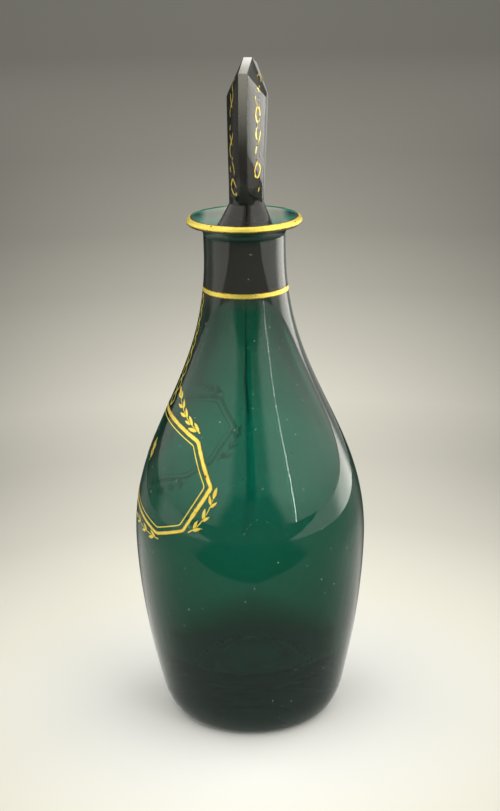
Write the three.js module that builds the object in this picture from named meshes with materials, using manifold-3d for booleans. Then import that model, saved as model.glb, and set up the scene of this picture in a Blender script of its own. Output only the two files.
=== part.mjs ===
// Spirit decanter of dark green blown glass, with a cut lozenge stopper and fired gilding.
// Millimetres, +Z up. The origin is the middle of the foot, and the gilt ticket faces -Y.
import * as THREE from "three";
import { mergeVertices } from "three/addons/utils/BufferGeometryUtils.js";
import Module from "manifold-3d";

const wasm = await Module();
wasm.setup();

// Outside of the bottle
const BELLY_RADIUS = 45;
const BELLY_HEIGHT = 75;
const HEEL_RADIUS = 36.5;
const HEEL_HEIGHT = 12;
const SIDE_FULLNESS = 1.7;
const SHOULDER_HEIGHT = 111;
const NECK_RADIUS = 15.5;
const NECK_LENGTH = 14;
const BELLY_PULL_SHARE = 0.385;
const NECK_PULL_SHARE = 0.451;

// Foot
const FOOT_RADIUS = 29.4;
const FOOT_RING_WIDTH = 4;
const HEEL_FOOT_SHARE = 0.26;
const HEEL_SIDE_SHARE = 0.45;
const KICK_HEIGHT = 12;
const PONTIL_RADIUS = 10;
const PONTIL_DEPTH = 1;

// Glass thickness
const BODY_WALL = 3.2;
const BASE_WALL = 5.5;
const NECK_WALL = 4.8;
const FLOOR_THICKNESS = 13;
const FLOOR_SAG = 7;
const FLOOR_CORNER_RADIUS = 18;
const CORNER_PULL_SHARE = 0.45;

// Lip and the ground seat in the neck
const LIP_RADIUS = 21.6;
const RIM_THICKNESS = 2.7;
const RIM_WIDTH = 1.9;
const FLARE_HEIGHT = 7.2;
const FLARE_PULL_SHARE = 0.85;
const FUNNEL_PULL_SHARE = 0.62;
const SEAT_RADIUS = 12;
const SEAT_LENGTH = 19.5;
const SEAT_TAPER = 1 / 20;

// Stopper: peg and collar
const PEG_CLEARANCE = 0.3;
const PEG_OVERHANG = 1;
const PEG_CHAMFER = 0.8;
const COLLAR_RISE = 0.6;
const WAIST_RISE = 5;
const STEM_RADIUS = 6.5;
const STEM_LENGTH = 14;
const COLLAR_FOOT_SHARE = 0.55;
const COLLAR_WAIST_SHARE = 0.45;

// Stopper: flat bevelled head
const HEAD_HEIGHT = 53.3;
const HEAD_HALF_WIDTH = 16.8;
const HEAD_TOP_SLOPE = THREE.MathUtils.degToRad(12.5);
const HEAD_TAPER = THREE.MathUtils.degToRad(5);
const HEAD_THICKNESS = 14.5;
const FLAT_TAPER = THREE.MathUtils.degToRad(1.6);
const EDGE_WIDTH = 3.1;
const BEVEL_WIDTH = 12.6;
const HEAD_CURVE_SHARES = [
  [1.03, 0.3],
  [0.86, 0.68],
];

// Stopper: how far the hand-cut head stands and leans off the peg's axis, towards +Y
const HEAD_SHIFT = 1;
const HEAD_LEAN = THREE.MathUtils.degToRad(1.5);

// Gilding: a skin laid a little clear of the glass
const GILT_CLEARANCE = 0.2;
const GILT_THICKNESS = 0.3;
const GILT_INSET = 0.06;
const LIP_BAND_HEIGHT = 2.1;
const NECK_RING_DROP = 27.1;
const NECK_RING_WIDTH = 2.2;
const STROKE_END_WIDTH = 0.3;

// Gilt ticket: its half angle round the bottle in degrees, its rise above the belly and its height
const TICKET_HALF_ANGLE = 75.5;
const TICKET_RISE = 9.1;
const TICKET_HEIGHT = 42.7;
const TICKET_TOP_BOW = 2.3;
const BORDER_WIDTH = 1.5;
const TOP_BORDER_WIDTH = 1.9;
const INNER_LINE_GAP = 2.3;
const INNER_LINE_WIDTH = 0.6;
const TOP_CORNER_SHARES = [0.83, 0.855];
const SIDE_CORNER_SHARES = [1, 0.508];
const FOOT_CORNER_SHARES = [0.815, 0.103];
const POINT_CORNER_SHARES = [0.581, 0];
const BASE_MIDDLE_SHARES = [0, 0.21];

// Leaf sprays: root, bend and tip as shares of the ticket, and the pairs of leaves
const TOP_SPRAY_SHARES = [
  [0.83, 0.925],
  [0.62, 1.005],
  [0.385, 1.175],
];
const SIDE_SPRAY_SHARES = [
  [0.857, 0.1],
  [0.98, 0.2],
  [1.028, 0.44],
];
const BOTTOM_SPRAY_SHARES = [
  [0.6, -0.045],
  [0.45, -0.04],
  [0.26, 0.01],
];
const TOP_SPRAY_PAIRS = 5;
const SIDE_SPRAY_PAIRS = 3;
const BOTTOM_SPRAY_PAIRS = 3;
const STEM_WIDTH = 0.6;
const LEAF_LENGTH = 3.8;
const LEAF_WIDTH = 1.5;
const LEAF_SPLAY = THREE.MathUtils.degToRad(28);

// Ornament in the middle of the ticket
const ORNAMENT_HEIGHT_SHARE = 0.6;
const ROSETTE_PETALS = 8;
const ROSETTE_RADIUS = 4.6;
const ROSETTE_BUTTON = 2.2;
const SPRIG_ANGLE_SHARE = 0.25;
const SPRIG_HEIGHT = 5.5;
const SPRIG_PAIRS = 2;

// Gilt chains
const CHAIN_WIRE_WIDTH = 0.6;
const CHAIN_TOP_ANGLE = 22;
const CHAIN_FOOT_ANGLE = 17;
const CHAIN_LINKS = 8;
const CHAIN_LINK_WIDTH = 2.6;
const CHAIN_GAP = 0.5;
const HEAD_CHAIN_FOOT_SHARES = [0.36, 0.06];
const HEAD_SIDE_LINKS = 6;
const HEAD_TOP_LINKS = 2;

// Fineness of the solids
const SEGMENTS = 36;
const CURVE_STEPS = 10;
const SHORT_STEPS = 4;
const FLOOR_STEPS = 3;
const BAND_STEPS = 3;
const TOP_EDGE_STEPS = 8;
const EDGE_STEPS = 6;
const LINK_STEPS = 3;
const LEAF_STEPS = 3;
const MERGE_TOLERANCE = 1e-4;
const PART_TOLERANCE = 1e-5;
const SLOPE_STEP = 0.01;
const OVERRUN = 40;

const glass = new THREE.MeshStandardMaterial({
  color: 0x0c4a38,
  roughness: 0.05,
  metalness: 0,
  transparent: true,
  opacity: 0.85,
});
const stopperGlass = new THREE.MeshStandardMaterial({
  color: 0x152a28,
  roughness: 0.05,
  metalness: 0,
  transparent: true,
  opacity: 0.9,
});
const gilding = new THREE.MeshStandardMaterial({
  color: 0xe3b646,
  roughness: 0.3,
  metalness: 1,
});

const neckHeight = BELLY_HEIGHT + SHOULDER_HEIGHT;
const lipHeight = neckHeight + NECK_LENGTH;
const neckRingHeight = lipHeight - NECK_RING_DROP;
const ticketBase = BELLY_HEIGHT + TICKET_RISE;
const ticketTop = ticketBase + TICKET_HEIGHT;

const at = (x, y) => new THREE.Vector2(x, y);

// A closed geometry as a solid that can be joined and cut
function solidOf(geometry) {
  const bare = geometry.clone();
  bare.deleteAttribute("normal");
  bare.deleteAttribute("uv");
  const merged = mergeVertices(bare, MERGE_TOLERANCE);
  const triVerts = new Uint32Array(merged.index.array);
  const vertProperties = merged.attributes.position.array;
  return new wasm.Manifold(new wasm.Mesh({ numProp: 3, vertProperties, triVerts }));
}

function geometryOf(solid) {
  const mesh = solid.getMesh();
  const geometry = new THREE.BufferGeometry();
  geometry.setAttribute("position", new THREE.BufferAttribute(mesh.vertProperties, mesh.numProp));
  geometry.setIndex(new THREE.BufferAttribute(mesh.triVerts, 1));
  geometry.computeVertexNormals();
  return geometry;
}

function joined(geometries) {
  return geometryOf(geometries.map(solidOf).reduce((whole, next) => whole.add(next)));
}

// An outline of (radius, height) turned about the Z axis
function revolved(outline) {
  return new THREE.LatheGeometry(outline, SEGMENTS).rotateX(Math.PI / 2);
}

function named(name, geometry, material) {
  const mesh = new THREE.Mesh(geometry, material);
  mesh.name = name;
  return mesh;
}

// Radius of the side between the heel and the belly
function sideRadius(height) {
  const rise = (height - HEEL_HEIGHT) / (BELLY_HEIGHT - HEEL_HEIGHT);
  return BELLY_RADIUS - (BELLY_RADIUS - HEEL_RADIUS) * (1 - rise) ** SIDE_FULLNESS;
}

// The shoulder from the belly to the neck, as far inside the outer surface as the walls say
function shoulderCurve(bellyWall, neckWall) {
  return new THREE.CubicBezierCurve(
    at(BELLY_RADIUS - bellyWall, BELLY_HEIGHT),
    at(BELLY_RADIUS - bellyWall, BELLY_HEIGHT + BELLY_PULL_SHARE * SHOULDER_HEIGHT),
    at(NECK_RADIUS - neckWall, neckHeight - NECK_PULL_SHARE * SHOULDER_HEIGHT),
    at(NECK_RADIUS - neckWall, neckHeight),
  );
}

// The part of the curve, from 0 to 1, at which a rising curve reaches the height
function partAtHeight(curve, height) {
  let low = 0;
  let high = 1;
  while (high - low > PART_TOLERANCE) {
    const middle = (low + high) / 2;
    if (curve.getPoint(middle).y < height) low = middle;
    else high = middle;
  }
  return (low + high) / 2;
}

const outerShoulder = shoulderCurve(0, 0);

function outerRadius(height) {
  if (height < BELLY_HEIGHT) return sideRadius(height);
  return outerShoulder.getPoint(partAtHeight(outerShoulder, height)).x;
}

function footOutline() {
  const ringInner = FOOT_RADIUS - FOOT_RING_WIDTH;
  const kick = new THREE.QuadraticBezierCurve(
    at(ringInner, 0),
    at((ringInner + PONTIL_RADIUS) / 2, KICK_HEIGHT),
    at(PONTIL_RADIUS, KICK_HEIGHT),
  );
  const pontil = new THREE.QuadraticBezierCurve(
    at(PONTIL_RADIUS, KICK_HEIGHT),
    at(PONTIL_RADIUS / 2, KICK_HEIGHT + PONTIL_DEPTH),
    at(0, KICK_HEIGHT + PONTIL_DEPTH),
  );
  const heel = new THREE.CubicBezierCurve(
    at(FOOT_RADIUS, 0),
    at(FOOT_RADIUS + HEEL_FOOT_SHARE * (HEEL_RADIUS - FOOT_RADIUS), 0),
    at(sideRadius(HEEL_HEIGHT * HEEL_SIDE_SHARE), HEEL_HEIGHT * HEEL_SIDE_SHARE),
    at(HEEL_RADIUS, HEEL_HEIGHT),
  );
  return [
    ...pontil.getPoints(FLOOR_STEPS).reverse(),
    ...kick.getPoints(FLOOR_STEPS).reverse(),
    ...heel.getPoints(SHORT_STEPS),
  ];
}

// The side between a height and the belly, moved in by the wall that each height has
function sideOutline(wallAt, fromHeight) {
  const points = [];
  for (let step = 1; step < SHORT_STEPS + 1; step += 1) {
    const height = THREE.MathUtils.lerp(fromHeight, BELLY_HEIGHT, step / (SHORT_STEPS + 1));
    points.push(at(sideRadius(height) - wallAt(height), height));
  }
  return points;
}

// The glass grows thicker from the belly down to the heel
function sideWall(height) {
  const rise = (height - HEEL_HEIGHT) / (BELLY_HEIGHT - HEEL_HEIGHT);
  return THREE.MathUtils.lerp(BASE_WALL, BODY_WALL, rise);
}

const rimFoot = lipHeight - RIM_THICKNESS;
const seatTop = lipHeight - FLARE_HEIGHT;
const seatBase = seatTop - SEAT_LENGTH;
const seatRadiusAt = (height) => SEAT_RADIUS - (seatTop - height) * SEAT_TAPER;

// The rounded edge of the lip, from its underside over the rim to its inner corner
function rimCurve() {
  return new THREE.CubicBezierCurve(
    at(LIP_RADIUS - RIM_THICKNESS / 4, rimFoot),
    at(LIP_RADIUS + RIM_THICKNESS / 4, rimFoot + RIM_THICKNESS / 4),
    at(LIP_RADIUS, lipHeight),
    at(LIP_RADIUS - RIM_WIDTH, lipHeight),
  );
}

function lipOutline() {
  const rim = rimCurve();
  const under = new THREE.QuadraticBezierCurve(
    at(NECK_RADIUS, seatTop),
    at(NECK_RADIUS, seatTop + FLARE_PULL_SHARE * (rimFoot - seatTop)),
    rim.v0,
  );
  const funnel = new THREE.QuadraticBezierCurve(
    rim.v3,
    at(SEAT_RADIUS, seatTop + FUNNEL_PULL_SHARE * (lipHeight - seatTop)),
    at(SEAT_RADIUS, seatTop),
  );
  return [
    ...under.getPoints(SHORT_STEPS),
    ...rim.getPoints(SHORT_STEPS + 1).slice(1),
    ...funnel.getPoints(SHORT_STEPS).slice(1),
  ];
}

function innerOutline() {
  const shoulder = shoulderCurve(BODY_WALL, NECK_WALL);
  const end = partAtHeight(shoulder, seatBase - SEAT_TAPER * SEAT_LENGTH);
  const cornerHeight = HEEL_HEIGHT + FLOOR_CORNER_RADIUS;
  const cornerRadius = sideRadius(cornerHeight) - sideWall(cornerHeight);
  const floorMiddle = KICK_HEIGHT + PONTIL_DEPTH + FLOOR_THICKNESS;
  const floorEdge = floorMiddle - FLOOR_SAG;
  const floorRadius = cornerRadius - FLOOR_CORNER_RADIUS;
  const corner = new THREE.CubicBezierCurve(
    at(cornerRadius, cornerHeight),
    at(cornerRadius - BODY_WALL, THREE.MathUtils.lerp(cornerHeight, floorEdge, 1 - CORNER_PULL_SHARE)),
    at(THREE.MathUtils.lerp(floorRadius, cornerRadius, 1 - CORNER_PULL_SHARE), floorEdge),
    at(floorRadius, floorEdge),
  );
  const floor = new THREE.CubicBezierCurve(
    corner.v3,
    at(floorRadius * (1 - CORNER_PULL_SHARE), floorEdge),
    at(floorRadius * CORNER_PULL_SHARE, floorMiddle),
    at(0, floorMiddle),
  );
  const wall = [];
  for (let step = 0; step < CURVE_STEPS; step += 1) {
    wall.push(shoulder.getPoint(end * (1 - step / CURVE_STEPS)));
  }
  return [
    at(seatRadiusAt(seatBase), seatBase),
    ...wall,
    at(BELLY_RADIUS - BODY_WALL, BELLY_HEIGHT),
    ...sideOutline(sideWall, cornerHeight).reverse(),
    ...corner.getPoints(FLOOR_STEPS),
    ...floor.getPoints(FLOOR_STEPS).slice(1),
  ];
}

function bodyGeometry() {
  return revolved([
    ...footOutline(),
    ...sideOutline(() => 0, HEEL_HEIGHT),
    ...outerShoulder.getPoints(CURVE_STEPS),
    ...lipOutline(),
    ...innerOutline(),
  ]);
}

// Front outline of the stopper's head: a blunt peak, two corners and sides that draw in to the waist
const waistHeight = lipHeight + WAIST_RISE;
const headTop = waistHeight + HEAD_HEIGHT;
const headCorner = at(HEAD_HALF_WIDTH, headTop - HEAD_HALF_WIDTH * Math.tan(HEAD_TOP_SLOPE));

function headSide() {
  const drop = headCorner.y - waistHeight;
  const [upper, lower] = HEAD_CURVE_SHARES.map(([width, fall]) =>
    at(HEAD_HALF_WIDTH * width, headCorner.y - drop * fall),
  );
  return new THREE.CubicBezierCurve(headCorner, upper, lower, at(STEM_RADIUS, waistHeight));
}

function headSlab() {
  const right = [at(0, headTop), ...headSide().getPoints(CURVE_STEPS)];
  const left = right.slice(1).reverse().map((point) => at(-point.x, point.y));
  const outline = new THREE.Shape([...right, ...left].reverse());
  return new THREE.ExtrudeGeometry(outline, { depth: HEAD_THICKNESS, bevelEnabled: false })
    .rotateX(Math.PI / 2)
    .translate(0, HEAD_THICKNESS / 2, 0);
}

// The ground faces of one side of the head, facing -Y: the flat panel and the bevels beside it
function facePlanes() {
  const bevelAngle = Math.atan((HEAD_THICKNESS - EDGE_WIDTH) / 2 / BEVEL_WIDTH);
  const bevelThrough = (outward, corner) =>
    new THREE.Plane().setFromNormalAndCoplanarPoint(
      outward.multiplyScalar(Math.sin(bevelAngle)).add(new THREE.Vector3(0, -Math.cos(bevelAngle), 0)),
      corner,
    );
  const flat = new THREE.Plane().setFromNormalAndCoplanarPoint(
    new THREE.Vector3(0, -Math.cos(FLAT_TAPER), -Math.sin(FLAT_TAPER)),
    new THREE.Vector3(0, -HEAD_THICKNESS / 2, headTop - BEVEL_WIDTH),
  );
  const bevels = [1, -1].flatMap((hand) => {
    const corner = new THREE.Vector3(hand * headCorner.x, -EDGE_WIDTH / 2, headCorner.y);
    const side = new THREE.Vector3(hand * Math.cos(HEAD_TAPER), 0, -Math.sin(HEAD_TAPER));
    const top = new THREE.Vector3(hand * Math.sin(HEAD_TOP_SLOPE), 0, Math.cos(HEAD_TOP_SLOPE));
    return [bevelThrough(side, corner), bevelThrough(top, corner)];
  });
  return [flat, ...bevels];
}

// A block whose near face lies on the plane, to grind away what stands beyond it
function blockBeyond(plane) {
  const block = new THREE.BoxGeometry(OVERRUN * 2, OVERRUN * 2, OVERRUN);
  const turn = new THREE.Quaternion().setFromUnitVectors(new THREE.Vector3(0, 0, 1), plane.normal);
  const middle = new THREE.Vector3(0, 0, (headTop + waistHeight) / 2);
  const foot = plane.projectPoint(middle, new THREE.Vector3());
  const centre = foot.addScaledVector(plane.normal, OVERRUN / 2);
  return block.applyQuaternion(turn).translate(centre.x, centre.y, centre.z);
}

function headSolid() {
  let head = solidOf(headSlab());
  for (const plane of facePlanes()) {
    const block = blockBeyond(plane);
    head = head.subtract(solidOf(block));
    head = head.subtract(solidOf(block.clone().rotateZ(Math.PI)));
  }
  return head;
}

// Puts what is drawn upright on the peg's axis in the head's place
function onHead(geometry) {
  return geometry.translate(0, 0, -waistHeight).rotateX(-HEAD_LEAN).translate(0, HEAD_SHIFT, waistHeight);
}

// The ground peg, the flared collar and the round stem that ends inside the head
const pegTop = seatTop + COLLAR_RISE;

function pegOutline() {
  const pegBase = seatBase - PEG_OVERHANG;
  const pegRadiusAt = (height) => seatRadiusAt(height) - PEG_CLEARANCE;
  const collar = new THREE.CubicBezierCurve(
    at(pegRadiusAt(pegTop), pegTop),
    at(pegRadiusAt(pegTop), pegTop + COLLAR_RISE),
    at(THREE.MathUtils.lerp(STEM_RADIUS, SEAT_RADIUS, COLLAR_FOOT_SHARE),
      THREE.MathUtils.lerp(pegTop, waistHeight, COLLAR_WAIST_SHARE)),
    at(STEM_RADIUS, waistHeight),
  );
  const stemTop = waistHeight + STEM_LENGTH;
  return [
    at(0, pegBase),
    at(pegRadiusAt(pegBase) - PEG_CHAMFER, pegBase),
    at(pegRadiusAt(pegBase), pegBase + PEG_CHAMFER),
    ...collar.getPoints(SHORT_STEPS * 2),
    at(STEM_RADIUS, (waistHeight + stemTop) / 2),
    at(STEM_RADIUS / 2, stemTop),
    at(0, stemTop),
  ];
}

// The collar bends from the peg over to the head
function pegGeometry() {
  const geometry = revolved(pegOutline());
  const places = geometry.attributes.position;
  for (let i = 0; i < places.count; i += 1) {
    const rise = THREE.MathUtils.smoothstep(places.getZ(i), pegTop, waistHeight);
    places.setY(i, places.getY(i) + HEAD_SHIFT * rise);
  }
  return geometry;
}

function stopperGeometry() {
  return joined([pegGeometry(), onHead(geometryOf(headSolid()))]);
}

// A chart lays flat drawings on a surface: place() is the point at (u, v), raised by the lift,
// and scale() is the millimetres for one unit of u and of v there.
const bodyChart = {
  scale(u, v) {
    const slope = (outerRadius(v + SLOPE_STEP) - outerRadius(v)) / SLOPE_STEP;
    return [THREE.MathUtils.degToRad(outerRadius(v)), Math.hypot(1, slope)];
  },
  place(u, v, lift) {
    const slope = (outerRadius(v + SLOPE_STEP) - outerRadius(v)) / SLOPE_STEP;
    const tilt = Math.atan(slope);
    const radius = outerRadius(v) + lift * Math.cos(tilt);
    const angle = THREE.MathUtils.degToRad(u);
    const height = v - lift * Math.sin(tilt);
    return new THREE.Vector3(radius * Math.sin(angle), -radius * Math.cos(angle), height);
  },
};

const frontPlanes = facePlanes();

// Depth of the head's front face at (x, z): the nearest of its ground faces
function faceDepth(x, z) {
  const depths = frontPlanes.map(({ normal, constant }) =>
    Math.abs((constant + normal.x * x + normal.z * z) / normal.y),
  );
  return Math.min(...depths);
}

const headChart = {
  scale: () => [1, 1],
  place: (u, v, lift) => new THREE.Vector3(u, -faceDepth(u, v) - lift, v),
};

// A path moved sideways on its chart, to the left of its direction, mitred at the corners
function shifted(chart, path, distances, closed) {
  const count = path.length;
  const sideways = (from, to) => {
    const [su, sv] = chart.scale(from.x, from.y);
    return at(-(to.y - from.y) * sv, (to.x - from.x) * su).normalize();
  };
  return path.map((point, i) => {
    const first = !closed && i === 0;
    const last = !closed && i === count - 1;
    const before = first ? sideways(point, path[1]) : sideways(path[(i + count - 1) % count], point);
    const after = last ? before : sideways(point, path[(i + 1) % count]);
    const mitre = before.clone().add(after).divideScalar(1 + before.dot(after));
    const [su, sv] = chart.scale(point.x, point.y);
    return at(point.x + (mitre.x * distances[i]) / su, point.y + (mitre.y * distances[i]) / sv);
  });
}

// A flat stroke of gilding along a path on a chart; a closed path makes a ring, and the inset
// keeps both faces of a stroke inside the thickness of the one that it joins
function stroke(chart, path, widths, { closed = false, inset = 0 } = {}) {
  const left = shifted(chart, path, widths.map((width) => width / 2), closed);
  const right = shifted(chart, path, widths.map((width) => -width / 2), closed);
  const low = GILT_CLEARANCE + inset;
  const high = GILT_CLEARANCE + GILT_THICKNESS - inset;
  const positions = path.flatMap((_, i) => [
    ...chart.place(left[i].x, left[i].y, low).toArray(),
    ...chart.place(right[i].x, right[i].y, low).toArray(),
    ...chart.place(right[i].x, right[i].y, high).toArray(),
    ...chart.place(left[i].x, left[i].y, high).toArray(),
  ]);
  const faces = [];
  const steps = closed ? path.length : path.length - 1;
  for (let i = 0; i < steps; i += 1) {
    const here = 4 * i;
    const next = 4 * ((i + 1) % path.length);
    for (let side = 0; side < 4; side += 1) {
      const turn = (side + 1) % 4;
      faces.push(here + side, next + side, next + turn);
      faces.push(here + side, next + turn, here + turn);
    }
  }
  if (!closed) {
    const end = 4 * (path.length - 1);
    faces.push(0, 1, 2, 0, 2, 3);
    faces.push(end, end + 2, end + 1, end, end + 3, end + 2);
  }
  const geometry = new THREE.BufferGeometry();
  geometry.setAttribute("position", new THREE.Float32BufferAttribute(positions, 3));
  geometry.setIndex(faces);
  geometry.computeVertexNormals();
  return geometry;
}

const evenWidths = (path, width) => path.map(() => width);

// The point that lies a distance from another one along the heading, in radians from +u
function along(chart, from, heading, distance) {
  const [su, sv] = chart.scale(from.x, from.y);
  return at(from.x + (Math.cos(heading) * distance) / su, from.y + (Math.sin(heading) * distance) / sv);
}

// A pointed leaf that starts at the root and runs along the heading
function leaf(chart, root, heading, length, width) {
  const path = [root];
  for (let step = 1; step <= LEAF_STEPS; step += 1) {
    path.push(along(chart, path.at(-1), heading, length / LEAF_STEPS));
  }
  const widths = path.map((_, i) => Math.max(STROKE_END_WIDTH, width * Math.sin((Math.PI * i) / LEAF_STEPS)));
  return stroke(chart, path, widths, { inset: GILT_INSET });
}

// Heading of a curve on its chart, in radians from +u
function headingOf(chart, curve, part) {
  const point = curve.getPoint(part);
  const tangent = curve.getTangent(part);
  const [su, sv] = chart.scale(point.x, point.y);
  return Math.atan2(tangent.y * sv, tangent.x * su);
}

// A stem with pairs of leaves along it and one at its tip
function spray(chart, curve, pairs) {
  const path = curve.getPoints(pairs * 2);
  const pieces = [stroke(chart, path, evenWidths(path, STEM_WIDTH))];
  for (let pair = 0; pair < pairs; pair += 1) {
    const part = (pair + 1 / 2) / pairs;
    for (const hand of [1, -1]) {
      const heading = headingOf(chart, curve, part) + hand * LEAF_SPLAY;
      pieces.push(leaf(chart, curve.getPoint(part), heading, LEAF_LENGTH, LEAF_WIDTH));
    }
  }
  const tip = curve.getPoint(1 - 1 / (4 * pairs));
  pieces.push(leaf(chart, tip, headingOf(chart, curve, 1), LEAF_LENGTH, LEAF_WIDTH));
  return joined(pieces);
}

// A chain of oval links drawn as two wires that cross between the links
function chain(chart, corners, linkCounts) {
  const wires = [1, -1].map((hand) => {
    const spine = [];
    const swings = [];
    linkCounts.forEach((links, run) => {
      const steps = links * LINK_STEPS;
      for (let step = run ? 1 : 0; step <= steps; step += 1) {
        spine.push(corners[run].clone().lerp(corners[run + 1], step / steps));
        swings.push((CHAIN_LINK_WIDTH / 2) * Math.sin((Math.PI * step) / LINK_STEPS));
      }
    });
    const path = shifted(chart, spine, swings.map((swing) => hand * swing), false);
    const inset = hand > 0 ? 0 : GILT_INSET;
    return stroke(chart, path, evenWidths(path, CHAIN_WIRE_WIDTH), { inset });
  });
  return joined(wires);
}

// A point of the ticket from its shares of the half angle and of the height
function ticketPoint([angleShare, heightShare], hand = 1) {
  const height = THREE.MathUtils.lerp(ticketBase, ticketTop, heightShare);
  return at(hand * angleShare * TICKET_HALF_ANGLE, height);
}

// The ticket's outline, clockwise from its left top corner over the bowed top edge
function ticketPath() {
  const corner = ticketPoint(TOP_CORNER_SHARES);
  const top = [];
  for (let step = -TOP_EDGE_STEPS; step <= TOP_EDGE_STEPS; step += 1) {
    const across = step / TOP_EDGE_STEPS;
    const fall = (ticketTop - corner.y) * Math.abs(across) ** TICKET_TOP_BOW;
    top.push(at(corner.x * across, ticketTop - fall));
  }
  const edges = [SIDE_CORNER_SHARES, FOOT_CORNER_SHARES, POINT_CORNER_SHARES, BASE_MIDDLE_SHARES];
  const right = edges.map((shares) => ticketPoint(shares));
  const left = edges.slice(0, -1).reverse().map((shares) => ticketPoint(shares, -1));
  const corners = [corner, ...right, ...left, at(-corner.x, corner.y)];
  const rest = [];
  for (let i = 0; i + 1 < corners.length; i += 1) {
    for (let step = 1; step <= EDGE_STEPS; step += 1) {
      rest.push(corners[i].clone().lerp(corners[i + 1], step / EDGE_STEPS));
    }
  }
  return { path: [...top, ...rest.slice(0, -1)], topCount: top.length };
}

function ticketMeshes() {
  const { path, topCount } = ticketPath();
  const widths = path.map((_, i) => (i < topCount ? TOP_BORDER_WIDTH : BORDER_WIDTH));
  const inner = shifted(bodyChart, path, evenWidths(path, -INNER_LINE_GAP), true);
  const innerWidths = evenWidths(inner, INNER_LINE_WIDTH);
  return [
    named("ticket_border", stroke(bodyChart, path, widths, { closed: true }), gilding),
    named("ticket_inner_line", stroke(bodyChart, inner, innerWidths, { closed: true }), gilding),
  ];
}

function sprayCurve(shares, hand) {
  return new THREE.QuadraticBezierCurve(...shares.map((share) => ticketPoint(share, hand)));
}

function sprigMesh(side, hand) {
  const middle = ticketPoint([SPRIG_ANGLE_SHARE, ORNAMENT_HEIGHT_SHARE], hand);
  const sprig = new THREE.LineCurve(
    at(middle.x, middle.y - SPRIG_HEIGHT / 2),
    at(middle.x, middle.y + SPRIG_HEIGHT / 2),
  );
  return named("ticket_sprig_" + side, spray(bodyChart, sprig, SPRIG_PAIRS), gilding);
}

function rosetteMesh() {
  const centre = ticketPoint([0, ORNAMENT_HEIGHT_SHARE]);
  const button = [-1, 0, 1].map((end) => at(centre.x, centre.y + (end * ROSETTE_BUTTON) / 2));
  const petals = [stroke(bodyChart, button, [1, 2, 1].map((part) => (part * ROSETTE_BUTTON) / 2))];
  for (let petal = 0; petal < ROSETTE_PETALS; petal += 1) {
    const heading = (2 * Math.PI * petal) / ROSETTE_PETALS;
    const rootRadius = ROSETTE_BUTTON / 4;
    const root = along(bodyChart, centre, heading, rootRadius);
    petals.push(leaf(bodyChart, root, heading, ROSETTE_RADIUS - rootRadius, LEAF_WIDTH));
  }
  return named("ticket_rosette", joined(petals), gilding);
}

function chainMesh(side, hand) {
  const top = neckRingHeight - NECK_RING_WIDTH / 2 - CHAIN_GAP;
  const foot = ticketTop + TOP_BORDER_WIDTH / 2 + CHAIN_GAP;
  const corners = [at(hand * CHAIN_TOP_ANGLE, top), at(hand * CHAIN_FOOT_ANGLE, foot)];
  return named("ticket_chain_" + side, chain(bodyChart, corners, [CHAIN_LINKS]), gilding);
}

function sideMeshes(side, hand) {
  const sprays = [
    ["top_spray_", TOP_SPRAY_SHARES, TOP_SPRAY_PAIRS],
    ["side_spray_", SIDE_SPRAY_SHARES, SIDE_SPRAY_PAIRS],
    ["bottom_spray_", BOTTOM_SPRAY_SHARES, BOTTOM_SPRAY_PAIRS],
  ];
  const meshes = sprays.map(([name, shares, pairs]) =>
    named(name + side, spray(bodyChart, sprayCurve(shares, hand), pairs), gilding),
  );
  return [...meshes, chainMesh(side, hand), sprigMesh(side, hand)];
}

// A ring of gilding over the stretch of the outline that the points give, from bottom to top
function giltRing(points) {
  const lifted = (lift) =>
    points.map((point, i) => {
      const before = points[Math.max(i - 1, 0)];
      const after = points[Math.min(i + 1, points.length - 1)];
      const along = after.clone().sub(before).normalize();
      return at(point.x + along.y * lift, point.y - along.x * lift);
    });
  const inside = lifted(GILT_CLEARANCE);
  const outside = lifted(GILT_CLEARANCE + GILT_THICKNESS);
  return revolved([...outside, ...inside.reverse(), outside[0]]);
}

function ringMeshes() {
  const half = NECK_RING_WIDTH / 2;
  const neck = [neckRingHeight - half, neckRingHeight, neckRingHeight + half];
  const neckPoints = neck.map((height) => at(outerRadius(height), height));
  const rim = rimCurve();
  const start = partAtHeight(rim, lipHeight - LIP_BAND_HEIGHT);
  const lipPoints = [];
  for (let step = 0; step <= BAND_STEPS; step += 1) {
    lipPoints.push(rim.getPoint(THREE.MathUtils.lerp(start, 1, step / BAND_STEPS)));
  }
  return [
    named("neck_gilding", giltRing(neckPoints), gilding),
    named("lip_gilding", giltRing(lipPoints), gilding),
  ];
}

// The gilt chain along the middle of the bevels of the stopper's front face, which meet at the mitre
function headChainGeometry() {
  const bevelMiddle = BEVEL_WIDTH / 2;
  const peak = at(0, headTop - bevelMiddle / Math.cos(HEAD_TOP_SLOPE));
  const sideAtPeak = headCorner.x - (headCorner.y - peak.y) * Math.tan(HEAD_TAPER);
  const mitreX =
    (sideAtPeak - bevelMiddle / Math.cos(HEAD_TAPER)) / (1 + Math.tan(HEAD_TOP_SLOPE) * Math.tan(HEAD_TAPER));
  const mitre = at(mitreX, peak.y - mitreX * Math.tan(HEAD_TOP_SLOPE));
  const [widthShare, heightShare] = HEAD_CHAIN_FOOT_SHARES;
  const foot = at(HEAD_HALF_WIDTH * widthShare, THREE.MathUtils.lerp(waistHeight, headTop, heightShare));
  const mirrored = (point) => at(-point.x, point.y);
  const corners = [mirrored(foot), mirrored(mitre), peak, mitre, foot];
  return chain(headChart, corners, [HEAD_SIDE_LINKS, HEAD_TOP_LINKS, HEAD_TOP_LINKS, HEAD_SIDE_LINKS]);
}

const bottle = new THREE.Group();
bottle.add(
  named("decanter_body", bodyGeometry(), glass),
  ...ringMeshes(),
  ...ticketMeshes(),
  rosetteMesh(),
  ...sideMeshes("left", -1),
  ...sideMeshes("right", 1),
);

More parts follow.
